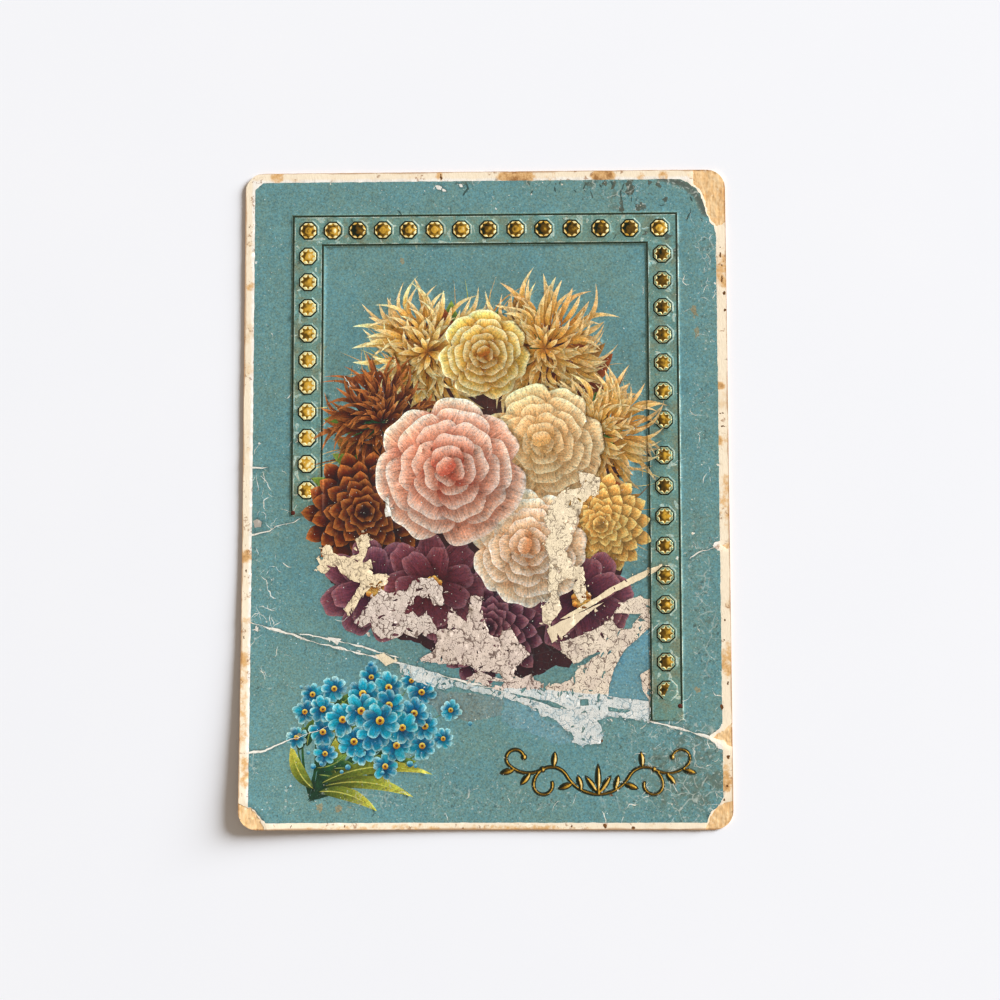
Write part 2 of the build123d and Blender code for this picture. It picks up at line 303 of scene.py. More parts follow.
# Drawn shadow beside a shape: reach in rim widths, its shift away from the light, and its depth
SHADE_REACH = 1.7
SHADE_SHIFT = 0.4
SHADE_STRENGTH = 0.46


@dataclass
class Shape:
    """A printed patch: colours from base to tip and rim, its relief, and the flower that it is part of."""
    outline: np.ndarray
    base: np.ndarray
    tip: np.ndarray
    colours: tuple
    rim_gain: float = 0.0
    rim_width: float = 0.45
    lift: float = 0.0
    bulge: float = 0.0
    flower: tuple = None
    vein: float = 0.0
    leaf: float = 0.0

    def place(self, points):
        """How far along from base to tip each point is, and how far aside in half widths."""
        along = np.asarray(self.tip, float) - self.base
        length = max(math.hypot(*along), 1e-6)
        along = along / length
        reach = (self.outline - self.base) @ sideways(along)
        half = max(np.abs(reach).max(), 1e-6)
        return (points - self.base) @ along / length, (points - self.base) @ sideways(along) / half

    def paint(self, points):
        base, middle, tip, rim = self.colours
        t, s = self.place(points)
        t = np.clip(t, 0, 1)[:, None]
        colour = np.where(t < 0.5, mixed(base, middle, 2 * t), mixed(middle, tip, 2 * t - 1))
        if self.rim_gain:
            edge = line_distance(points, self.outline, closed=True)
            glow = self.rim_gain * np.exp(-(edge / self.rim_width) ** 2) * smooth(t[:, 0], 0.25, 0.85)
            colour = colour + glow[:, None] * (rim - colour)
        if self.flower:
            centre, radius = self.flower[:2]
            lit = (points - centre) @ PICTURE_LIGHT / radius
            colour = colour * (1 + LIT_GAIN * np.clip(lit, -1, 1))[:, None]
        return np.clip(colour, DARKEST, 1)

    def relief(self, points):
        """Height of the embossing."""
        rise = np.full(len(points), self.lift)
        if self.flower:
            centre, radius, dome = self.flower
            far = np.linalg.norm(points - centre, axis=1) / radius
            rise = rise + dome * np.clip(1 - far ** 2, 0, 1)
        if self.bulge:
            edge = line_distance(points, self.outline, closed=True)
            rise = rise + self.bulge * (1 - np.exp(-edge / BULGE_REACH))
        return RELIEF * rise

    def shade(self, points):
        """How dark the print beside the shape is, most on the side away from the picture's light."""
        reach = SHADE_REACH * self.rim_width
        moved = points + SHADE_SHIFT * reach * PICTURE_LIGHT
        return np.exp(-(line_distance(moved, self.outline, closed=True) / reach) ** 2)


def palette(*colours):
    return tuple(srgb(*colour) for colour in colours)


GOLD = palette((150, 84, 28), (238, 182, 74), (254, 230, 130), (255, 245, 196))
AMBER = palette((120, 56, 18), (216, 140, 58), (247, 198, 104), (255, 234, 160))
AUBURN = palette((34, 8, 4), (90, 30, 13), (152, 70, 30), (206, 130, 66))
PEACH = palette((186, 90, 70), (244, 170, 138), (255, 214, 184), (255, 241, 222))
CREAM = palette((200, 136, 90), (242, 206, 162), (253, 234, 204), (255, 248, 232))
PLUM = palette((40, 14, 26), (86, 38, 52), (126, 70, 82), (176, 124, 130))
BLUE = palette((0, 56, 96), (0, 122, 158), (24, 170, 188), (196, 240, 236))
YELLOW = palette((190, 110, 20), (244, 196, 60), (253, 228, 110), (255, 246, 180))
OLIVE = palette((36, 56, 22), (112, 122, 38), (192, 188, 62), (224, 218, 110))
GREEN = palette((16, 40, 26), (30, 76, 38), (106, 138, 52), (176, 190, 90))
BRONZE = palette((36, 16, 8), (92, 50, 20), (156, 104, 44), (206, 160, 84))
DARK = palette((46, 22, 26), (62, 32, 30), (78, 42, 32), (104, 60, 42))
MARGIN_PAPER = srgb(254, 247, 236)
CHIPPED_PAPER = srgb(243, 237, 224)
FRINGE_PAPER = srgb(253, 232, 202)
GRIME = palette((78, 88, 78), (86, 96, 86), (92, 102, 92), (96, 108, 98))
SMUDGE = palette((136, 136, 112), (142, 138, 112), (132, 140, 120), (124, 142, 128))
CHIPPED = palette((226, 226, 214), (232, 230, 218), (236, 232, 220), (238, 234, 222))
RUST = palette((104, 64, 30), (112, 70, 34), (96, 58, 28), (104, 64, 30))
INK = palette((24, 34, 20), (24, 34, 20), (28, 38, 24), (28, 38, 24))
# Pale tint of the scuffs, and of the painted highlights beside the rules and round the rosettes
PALE = palette((176, 198, 186), (192, 210, 196), (208, 222, 206), (214, 226, 210))
BAND_TEAL = palette((104, 140, 128), (106, 142, 132), (108, 144, 134), (108, 144, 134))
OLIVE_STAIN = srgb(122, 128, 102)
TEAL = srgb(103, 143, 142)


def toned(colours, share, target):
    return tuple(mixed(colour, target, share) for colour in colours)


# Rings of petals from the outside in, as shares of the flower's radius.
# Roses: count, reach, depth and width. Dahlias: count and reach. Shaggy blooms: count, inner and outer reach.
ROSE_RINGS = ((7, 0.66, 0.38, 0.41), (6, 0.53, 0.34, 0.38), (6, 0.40, 0.30, 0.33),
              (5, 0.28, 0.24, 0.28), (4, 0.17, 0.18, 0.22), (3, 0.08, 0.12, 0.15))
DAHLIA_RINGS = ((15, 1.00), (15, 0.85), (13, 0.70), (12, 0.56), (10, 0.42), (8, 0.29), (6, 0.17))
SHAGGY_RINGS = ((44, 0.34, 1.12), (44, 0.28, 0.96), (38, 0.20, 0.78),
                (30, 0.10, 0.58), (20, 0.04, 0.40), (10, 0.0, 0.24))
COSMOS_RINGS = (8, 7)
COSMOS_GRAINS = 34
# Turn from one seed to the next in a spiral, as on a flower head
SEED_TURN = 2.4


def rose(centre, radius, colours, turn, seed, dome=0.26):
    """Rings of overlapping ruffled petals, closing on a dark heart."""
    rng = np.random.default_rng(seed)
    centre = np.array(centre, float)
    shapes = []
    for level, (count, reach, deep, wide) in enumerate(ROSE_RINGS):
        for index in range(count):
            angle = turn + 0.75 * level + 2 * math.pi * (index + rng.uniform(-0.13, 0.13)) / count
            away = direction(angle)
            middle = centre + away * radius * reach
            size = radius * rng.uniform(0.93, 1.07)
            tones = toned(colours, 0.08 * level + rng.uniform(0, 0.14), colours[0])
            outline = round_petal(middle, angle, deep * size, wide * size, 0.035, rng.uniform(0, 6.3))
            shapes.append(Shape(outline, middle - away * deep * radius * 0.25, middle + away * deep * radius,
                                tones, 0.8, 0.05 * radius, 0.022 * level, 0.07, (centre, radius, dome), 0.8))
    return shapes


def dahlia(centre, radius, colours, turn, seed, dome=0.24):
    """Many rings of pointed petals round a tight button."""
    rng = np.random.default_rng(seed)
    centre = np.array(centre, float)
    shapes = []
    for level, (count, reach) in enumerate(DAHLIA_RINGS):
        for index in range(count):
            angle = turn + math.pi * level / count + 2 * math.pi * (index + rng.uniform(-0.1, 0.1)) / count
            away = direction(angle)
            tip = centre + away * radius * reach * rng.uniform(0.94, 1.04)
            base = centre + away * radius * max(0, reach - 0.44)
            half = min(0.14, math.pi * 0.86 * reach / count + 0.018) * radius
            outline = blade(base, tip, half, rng.uniform(-0.3, 0.3), 1.25)
            tones = toned(colours, rng.uniform(0, 0.25), colours[0])
            shapes.append(Shape(outline, mixed(base, tip, 0.42), tip, tones, 0.7, 0.03 * radius,
                                0.016 * level, 0.06, (centre, radius, dome), 0.9))
    return shapes


def shaggy(centre, radius, colours, seed, dome=0.22):
    """A shaggy bloom of long thin curling petals, lighter and darker ones mixed."""
    rng = np.random.default_rng(seed)
    centre = np.array(centre, float)
    shapes = []
    for level, (count, inner, outer) in enumerate(SHAGGY_RINGS):
        for index in range(count):
            angle = 2 * math.pi * (index + rng.uniform(-0.45, 0.45)) / count
            bend = rng.uniform(-0.26, 0.26) * radius * outer
            base = centre + direction(angle) * radius * inner
            tip = centre + direction(angle + 0.9 * bend / radius) * radius * outer * rng.uniform(0.80, 1.08)
            tones = toned(colours, rng.uniform(0, 0.45), colours[0])
            outline = blade(base, tip, rng.uniform(0.026, 0.044) * radius, bend, 1.15, 0, 0.9)
            shapes.append(Shape(outline, mixed(base, tip, 0.12), tip, tones, 0.7, 0.02 * radius,
                                0.025 * level, 0.05, (centre, radius, dome), 0.9))
    return shapes


def cosmos(centre, radius, colours, turn, seed, dome=0.12):
    """Two rounds of broad notched petals and a small gold button."""
    rng = np.random.default_rng(seed)
    centre = np.array(centre, float)
    flower = (centre, radius, dome)
    shapes = []
    for level, count in enumerate(COSMOS_RINGS):
        for index in range(count):
            angle = turn + 0.4 * level + 2 * math.pi * (index + rng.uniform(-0.12, 0.12)) / count
            away = direction(angle)
            size = radius * (1 - 0.22 * level) * rng.uniform(0.92, 1.05)
            outline = round_petal(centre + away * size * 0.56, angle, 0.45 * size, 0.30 * size, 0.04,
                                  rng.uniform(0, 6.3))
            tones = toned(colours, rng.uniform(0, 0.3), colours[0])
            shapes.append(Shape(outline, centre + away * size * 0.15, centre + away * size, tones, 0.6,
                                0.04 * radius, 0.03 * level, 0.08, flower, 1.0))
    for index in range(COSMOS_GRAINS):
        far = 0.15 * radius * math.sqrt((index + 0.5) / COSMOS_GRAINS)
        spot = centre + direction(SEED_TURN * index) * far
        shapes.append(Shape(disc(spot, 0.055 * radius, 7), spot - (0, 0.4), spot + (0, 0.4), AMBER, 0.0, 0.3,
                            0.1, 0.04, flower))
    return shapes


def aster(centre, radius, seed, count=8):
    """A small blue daisy of rounded petals with light rims, and a yellow eye."""
    rng = np.random.default_rng(seed)
    centre = np.array(centre, float)
    flower = (centre, radius * 1.6, 0.06)
    turn = rng.uniform(0, 6.3)
    shapes = []
    for index in range(count):
        angle = turn + 2 * math.pi * (index + rng.uniform(-0.15, 0.15)) / count
        away = direction(angle)
        size = radius * rng.uniform(0.88, 1.08)
        colours = toned(BLUE, rng.uniform(0, 0.5), BLUE[2] if rng.random() < 0.5 else BLUE[0])
        outline = round_petal(centre + away * size * 0.58, angle, 0.42 * size, 0.29 * size, 0.03,
                              rng.uniform(0, 6.3), 0.4)
        shapes.append(Shape(outline, centre + away * size * 0.12, centre + away * size, colours, 0.9, 0.16,
                            0.02 * (index % 2), 0.05, flower, 0.9))
    for reach, colours in ((0.22, YELLOW), (0.09, AUBURN)):
        shapes.append(Shape(disc(centre, reach * radius, 10), centre - (0, reach * radius),
                            centre + (0, reach * radius), colours, 0.0, 0.2, 0.07, 0.04, flower))
    return shapes


def leaf(base, tip, half, bend, colours, teeth, lift=0.05):
    """A leaf in two tones with a light midrib."""
    base = np.array(base, float)
    tip = np.array(tip, float)
    outline = blade(base, tip, half, bend, 0.82, teeth, 0.5)
    rib = blade(base, mixed(base, tip, 0.96), 0.11, bend * 0.97, 0.55)
    return [Shape(outline, base, tip, colours, 0.35, 0.3, lift, 0.07, vein=0.5, leaf=1.0),
            Shape(rib, base, tip, toned(colours, 0.55, colours[3]), lift=lift + 0.1)]


def stroke(base, tip, width, bend, colours, lift=0.02):
    base = np.array(base, float)
    return Shape(blade(base, tip, width / 2, bend, 0.6), base, np.array(tip, float), colours, lift=lift)


# The printed bouquet and the small spray under it

BOUQUET_MIDDLE = np.array([-0.5, 4.0])
BOUQUET_REACH = np.array([32.0, 35.0])
BOUQUET_SHADE = (
    (-13, 32), (-7, 32.5), (7, 32.5), (14, 31), (21, 20), (24.5, 9), (25, -4), (25, -13), (21, -22),
    (17, -30), (8, -33), (-2, -32), (-12, -27), (-22, -23), (-28, -16), (-30, -7), (-25, 7), (-20, 20),
)
GRASS_COUNT = 170
GRASS_COLOURS = (GOLD, AMBER, BRONZE, OLIVE, GOLD, AMBER)
LEAF_COUNT = 52
UPPER_LEAVES = (BRONZE, AUBURN, AUBURN, GREEN, BRONZE)
LOWER_LEAVES = (PLUM, AUBURN)


def lowness(angle):
    """From 0 in the bouquet's upper part to 1 at its foot."""
    return float(smooth(np.array(-math.sin(angle)), 0.2, 0.7))


def greenery():
    """A dark ground of leaves, with fine golden grasses round the bouquet's rim."""
    rng = np.random.default_rng(11)
    shade = ragged(BOUQUET_SHADE, 0.8, 0.8, 2.5, 6.0)
    shapes = [Shape(shade, np.array([0, -34.0]), np.array([0, 38.0]), DARK, lift=0.02, vein=0.6)]
    for index in range(GRASS_COUNT):
        angle = 2 * math.pi * (index + rng.uniform(-0.5, 0.5)) / GRASS_COUNT
        low = lowness(angle)
        reach = rng.uniform(0.84, 1.06) * (1 - 0.16 * low)
        base = BOUQUET_MIDDLE + BOUQUET_REACH * direction(angle + rng.uniform(-0.1, 0.1)) * 0.6
        tip = BOUQUET_MIDDLE + BOUQUET_REACH * direction(angle + rng.uniform(-0.25, 0.25)) * reach
        colours = GRASS_COLOURS[rng.integers(len(GRASS_COLOURS))] if low < 0.3 else BRONZE
        shapes.append(stroke(base, tip, rng.uniform(0.16, 0.42), rng.uniform(-4, 4), colours, 0.03))
    for index in range(LEAF_COUNT):
        angle = 2 * math.pi * (index + rng.uniform(-0.4, 0.4)) / LEAF_COUNT
        low = lowness(angle)
        reach = rng.uniform(0.80, 0.99) * (1 - 0.10 * low)
        base = BOUQUET_MIDDLE + BOUQUET_REACH * direction(angle + rng.uniform(-0.1, 0.1)) * 0.5
        tip = BOUQUET_MIDDLE + BOUQUET_REACH * direction(angle + rng.uniform(-0.15, 0.15)) * reach
        choice = UPPER_LEAVES if low < 0.5 else LOWER_LEAVES
        colours = choice[rng.integers(len(choice))]
        shapes += leaf(base, tip, rng.uniform(1.8, 3.0), rng.uniform(-2.5, 2.5), colours, 7, 0.05)
    return shapes


# Blooms in the order they are printed: kind, centre and radius, colours, then what that kind takes
BLOOMS = (
    (shaggy, (-10.5, 26.5), 13.0, GOLD, 21),
    (shaggy, (11.0, 27.0), 13.0, toned(GOLD, 0.25, AMBER[1]), 22),
    (shaggy, (-19.0, 13.5), 11.5, AUBURN, 33),
    (shaggy, (20.5, 11.0), 12.0, toned(GOLD, 0.3, AMBER[1]), 34),
    (dahlia, (-22.0, -3.0), 11.5, AUBURN, 0.2, 23),
    (dahlia, (21.0, -5.5), 9.5, toned(AMBER, 0.2, GOLD[2]), 0.5, 24),
    (cosmos, (-20.0, -17.0), 10.0, PLUM, 0.3, 25),
    (cosmos, (17.5, -19.0), 10.0, PLUM, 1.0, 26),
    (dahlia, (0.5, -24.0), 10.5, PLUM, 0.1, 28),
    (rose, (0.0, 26.0), 8.0, GOLD, 0.6, 27),
    (cosmos, (-9.5, -16.5), 9.5, toned(PLUM, 0.3, AUBURN[1]), 0.0, 32),
    (rose, (10.5, 9.5), 11.0, toned(PEACH, 0.4, GOLD[2]), 0.2, 29),
    (rose, (8.0, -9.5), 10.5, CREAM, 0.9, 30),
    (rose, (-6.5, 4.5), 13.5, PEACH, 0.5, 31),
)


def bouquet():
    shapes = greenery()
    for bloom, *settings in BLOOMS:
        shapes += bloom(*settings)
    return shapes


SPRAY_FOOT = np.array([-31.5, -55.0])
SPRAY_MIDDLE = np.array([-20.5, -40.5])
SPRAY_REACH = np.array([15.0, 9.0])
SPRAY_COUNT = 27
SPRAY_BUDS = 12
SPRAY_GREENS = (OLIVE, GREEN, GREEN)
# Long leaves at the spray's foot: base, tip and bend
SPRAY_LEAVES = (((-29, -52.5), (-13, -54.5), 1.6), ((-30, -53.5), (-19.5, -57.0), 1.2),
                ((-31, -53), (-35, -45), 1.0), ((-29.5, -52), (-9.5, -50.5), 2.2))


def spray():
    """A small spray of blue daisies on stems that meet at the lower left."""
    rng = np.random.default_rng(41)
    flowers = []
    for index in reversed(range(SPRAY_COUNT)):
        far = math.sqrt((index + 0.5) / SPRAY_COUNT)
        place = SPRAY_MIDDLE + SPRAY_REACH * direction(SEED_TURN * index) * far + rng.normal(0, 0.5, 2)
        flowers.append((place, 3.5 - 1.3 * far + rng.uniform(-0.3, 0.3)))
    shapes = []
    for place, radius in flowers:
        foot = SPRAY_FOOT + rng.uniform(-0.6, 0.6, 2)
        shapes.append(stroke(foot, place, 0.5, rng.uniform(-1.6, 1.6), GREEN, 0.04))
    for place, radius in flowers:
        base = mixed(SPRAY_FOOT, place, rng.uniform(0.45, 0.9))
        tip = base + direction(rng.uniform(-1.2, 2.6)) * rng.uniform(4.0, 7.5)
        colours = SPRAY_GREENS[rng.integers(len(SPRAY_GREENS))]
        shapes += leaf(base, tip, rng.uniform(0.9, 1.5), rng.uniform(-1.2, 1.2), colours, 0, 0.06)
    for base, tip, bend in SPRAY_LEAVES:
        shapes += leaf(base, tip, 1.2, bend, OLIVE, 0, 0.06)
    for index, (place, radius) in enumerate(flowers):
        shapes += aster(place, radius, 50 + index)
    for _ in range(SPRAY_BUDS):
        spot = SPRAY_MIDDLE + SPRAY_REACH * direction(rng.uniform(0, 6.3)) * rng.uniform(1.0, 1.2)
        bud = disc(spot, rng.uniform(0.3, 0.6), 9)
        shapes.append(Shape(bud, spot - (0, 0.6), spot + (0, 0.6), BLUE, 0.5, 0.2, 0.05, 0.05))
    return shapes


# Border

def band_outline(inset):
    half, top = BAND_HALF - inset, BAND_TOP - inset
    inner, roof = inner_half + inset, inner_top + inset
    left, right = BAND_LEFT_FOOT + inset, BAND_RIGHT_FOOT + inset
    return np.array([(-half, left), (-inner, left), (-inner, roof), (inner, roof), (inner, right),
                     (half, right), (half, top), (-half, top)])


def loose_middles(node):
    """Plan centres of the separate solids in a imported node."""
    shape = bmesh.new()
    shape.from_mesh(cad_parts[node].data)
    bmesh.ops.remove_doubles(shape, verts=shape.verts, dist=1e-6)
    left = set(shape.verts)
    middles = []
    while left:
        group = {left.pop()}
        edge = list(group)
        while edge:
            vert = edge.pop()
            for link in vert.link_edges:
                other = link.other_vert(vert)
                if other not in group:
                    group.add(other)
                    edge.append(other)
        left -= group
        places = np.array([v.co[:2] for v in group]) / MM
        middles.append((places.min(axis=0) + places.max(axis=0)) / 2)
    shape.free()
    return sorted(middles, key=lambda place: (round(place[0], 1), -place[1]))


def octagon(middle, apothem):
    turn = math.radians(22.5) + np.arange(8) * math.pi / 4
    reach = apothem / math.cos(math.radians(22.5))
    return np.asarray(middle) + reach * np.column_stack([np.cos(turn), np.sin(turn)])


ROSETTE_APOTHEM = 1.72
rosettes = {side: loose_middles("gilt_rosettes_" + side) for side in ("top", "left", "right")}
rosette_spots = [spot for side in rosettes.values() for spot in side]


def node_outlines(node, grow):
    """Outlines of a packed flat node, seen from above and grown outwards."""
    shape = bmesh.new()
    shape.from_mesh(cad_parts[node].data)
    bmesh.ops.remove_doubles(shape, verts=shape.verts, dist=1e-6)
    low = min(v.co.z for v in shape.verts)
    following = {}
    for face in shape.faces:
        if max(v.co.z for v in face.verts) < low + 1e-6:
            for loop in face.loops:
                other = loop.link_loop_radial_next
                if other == loop or max(v.co.z for v in other.face.verts) > low + 1e-6:
                    following[loop.vert.index] = loop.link_loop_next.vert.index
    shape.verts.ensure_lookup_table()
    outlines = []
    while following:
        first, at = next(iter(following.items()))
        del following[first]
        ring = [first]
        while at in following:
            ring.append(at)
            at = following.pop(at)
        points = np.array([shape.verts[i].co[:2] for i in ring]) / MM
        side = np.roll(points, -1, axis=0) - np.roll(points, 1, axis=0)
        side = side / np.maximum(np.linalg.norm(side, axis=1), 1e-9)[:, None]
        turned = sum(a[0] * b[1] - a[1] * b[0] for a, b in zip(points, np.roll(points, -1, axis=0)))
        outward = np.column_stack([side[:, 1], -side[:, 0]]) * np.sign(turned)
        outlines.append(points + grow * outward)
    shape.free()
    return outlines


RULE_PRINT_OVER = 0.05
# Gap between a rule and the painted highlight line beside it
HIGHLIGHT_LINE_GAP = 0.07
SCUFFS = 6
SCUFF_SPREAD = 2.6


def rule_strip(half, top, sign, short):
    """Outline of the printed line under one rule, a little wider than the rule."""
    near = sign * (RULE_INSET - RULE_PRINT_OVER)
    far = sign * (RULE_INSET + RULE_WIDTH + RULE_PRINT_OVER)
    left, right = rule_left_end, rule_right_end + short
    return np.array([(-half + near, left), (-half + near, top - near), (half - near, top - near),
                     (half - near, right), (half - far, right), (half - far, top - far),
                     (-half + far, top - far), (-half + far, left)])


def scuffs(rng):
    """Pale and brownish scuffs round the rosettes."""
    shapes = []
    for spot in rosette_spots:
        for _ in range(SCUFFS):
            place = spot + rng.uniform(-SCUFF_SPREAD, SCUFF_SPREAD, 2)
            angle = rng.choice([0, 90]) + rng.uniform(-12, 12)
            target = mixed(BAND_TEAL[1], OLIVE_STAIN, 0.8) if rng.random() < 0.45 else PALE[1]
            colours = toned(BAND_TEAL, rng.uniform(0.25, 0.85), target)
            outline = blot(place, rng.uniform(0.2, 0.65), 1.5, angle, int(rng.integers(9999)))
            shapes.append(Shape(outline, place, place + (0.3, 0.3), colours, lift=0.004))
    return shapes


def rule_highlight_lines(rng):
    """Broken pale lines beside the rules: painted highlights along the embossed band's edges."""
    side = RULE_INSET + RULE_WIDTH + HIGHLIGHT_LINE_GAP
    outer = BAND_HALF - RULE_INSET + HIGHLIGHT_LINE_GAP
    runs = [((-BAND_HALF + side, BAND_LEFT_FOOT), (-BAND_HALF + side, BAND_TOP)),
            ((-BAND_HALF, BAND_TOP - side), (BAND_HALF, BAND_TOP - side)),
            ((outer, BAND_TOP), (outer, BAND_RIGHT_FOOT)),
            ((-inner_half - side, BAND_LEFT_FOOT), (-inner_half - side, inner_top)),
            ((-inner_half, inner_top + side), (inner_half, inner_top + side)),
            ((inner_half + side, inner_top), (inner_half + side, BAND_RIGHT_FOOT))]
    shapes = []
    for start, end in runs:
        start, end = np.array(start), np.array(end)
        length = math.dist(start, end)
        along = (end - start) / length
        at = rng.uniform(0.2, 1.0)
        while at < length - 1:
            size = rng.uniform(1.5, 7.0)
            first = start + along * at
            last = start + along * min(at + size, length - 0.3)
            colours = toned(PALE, rng.uniform(0, 0.5), BAND_TEAL[1])
            outline = blade(first, last, rng.uniform(0.08, 0.17), 0, 0.8, 0, 1.2)
            shapes.append(Shape(outline, first, last, colours, lift=0.02))
            at += size + rng.uniform(0.1, 1.0)
    return shapes


def rosette_lights(rng):
    """Painted highlights: pale glints along the lower right of each rosette's foot."""
    shapes = []
    for spot in rosette_spots:
        corners = np.arange(rng.integers(6, 8), 10) % 8
        ring = np.vstack([octagon(spot, ROSETTE_APOTHEM + rng.uniform(0.24, 0.32))[corners],
                          octagon(spot, ROSETTE_APOTHEM + 0.12)[corners[::-1]]])
        colours = toned(PALE, rng.uniform(0, 0.6), BAND_TEAL[1])
        shapes.append(Shape(ring, spot, spot + (1.8, 1.0), colours, lift=0.03))
    return shapes


def border_marks():
    """What is printed, worn and painted on the band: scuffs, painted highlight lines beside the rules,
    painted glints round the rosettes and the lines under the rules.
    """
    rng = np.random.default_rng(61)
    shapes = scuffs(rng) + rule_highlight_lines(rng) + rosette_lights(rng)
    for outline in (rule_strip(BAND_HALF, BAND_TOP, 1, RIGHT_RULE_SHORT),
                    rule_strip(inner_half, inner_top, -1, 0.0)):
        shapes.append(Shape(divided(outline, 1.5), outline[0], outline[1], INK, lift=0.01))
    return shapes


# Wear: torn corners, flakes, cracks and flecks

def from_corner(x_sign, y_sign, points):
    """A tear's outline from its corner's offsets, closed outside the card."""
    corner = np.array([x_sign * HALF_WIDTH, y_sign * HALF_HEIGHT])
    return np.array([corner + point for point in points])


# Outlines torn out of the paper and, a little wider, out of the print
TORN_PAPER = [
    on_card(((692, 155), (693, 184), (700, 190), (704, 198), (707, 209), (710, 219), (716, 226), (727, 223),
        (740, 222), (740, 155))),
    from_corner(1, -1, ((2.0, 5.6), (-1.9, 4.7), (-3.6, 3.2), (-4.6, 1.0), (-5.6, -2.0), (2.0, -2.0))),
    from_corner(-1, -1, ((4.7, -2.0), (4.7, 0.6), (3.7, 2.4), (2.2, 3.9), (-2.0, 5.6), (-2.0, -2.0))),
    on_card(((740, 721), (731, 724), (725, 729), (719, 733), (713, 737), (719, 739), (724, 741), (731, 746),
        (740, 748))),
    from_corner(1, -1, ((2.0, 52.5), (-1.5, 51.0), (2.0, 49.6))),
]
TORN_FILM = [
    on_card(((668, 155), (668, 176), (679, 179), (687, 182), (695, 187), (701, 195), (703, 203), (706, 210),
        (709, 220), (715, 229), (718, 237), (740, 238), (740, 155))),
    from_corner(1, -1, ((0.0, 5.8), (-1.8, 5.7), (-2.3, 4.5), (-3.8, 3.4), (-4.2, 2.7), (-4.9, 1.3),
        (-5.2, 0.0), (0.0, 0.0))),
    from_corner(-1, -1, ((0.0, 4.6), (2.3, 4.1), (3.1, 3.4), (3.9, 2.4), (5.2, 1.1), (5.4, 0.0),
        (0.0, 0.0))),
    from_corner(-1, 1, ((0.0, -3.2), (1.8, -3.0), (2.6, -2.3), (3.8, -1.7), (4.0, 0.0), (0.0, 0.0))),
    on_card(((740, 717), (724, 722), (719, 728), (713, 733), (708, 738), (713, 742), (717, 747), (724, 751),
        (740, 752))),
    from_corner(1, -1, ((0.0, 52.8), (-1.4, 52.2), (-3.2, 51.0), (-2.1, 50.2), (-1.4, 49.9), (0.0, 49.4))),
]
# Lines along which the card was folded and its print cracked, and the cracks' widths
CREASES = (
    ((-44.6, -22.6), (-37.9, -24.5), (-29.9, -26.9), (-23.2, -28.6), (-15.1, -30.6), (-5.8, -33.3),
        (3.4, -35.6), (13.9, -37.7), (22.1, -39.4), (30.2, -41.1), (35.6, -42.5), (40.4, -43.9),
        (43.0, -45.9)),
    ((-34.5, -25.0), (-27.5, -26.2), (-22.0, -27.6), (-15.5, -29.6)),
    ((-44.7, -46.7), (-42.4, -46.5), (-39.8, -46.2), (-37.2, -45.0), (-35.0, -44.2), (-30.8, -42.8),
        (-28.5, -41.9)),
    ((-44.6, -7.3), (-42.4, -7.0), (-39.5, -6.4), (-38.0, -5.4), (-35.4, -4.9), (-33.8, -4.1)),
    ((-44.6, 5.6), (-42.6, 5.4), (-39.7, 5.2)), ((43.4, -9.0), (39.3, -10.4), (37.0, -11.8)),
)
CREASE_WIDTHS = (0.36, 0.28, 0.30, 0.28, 0.34, 0.30)
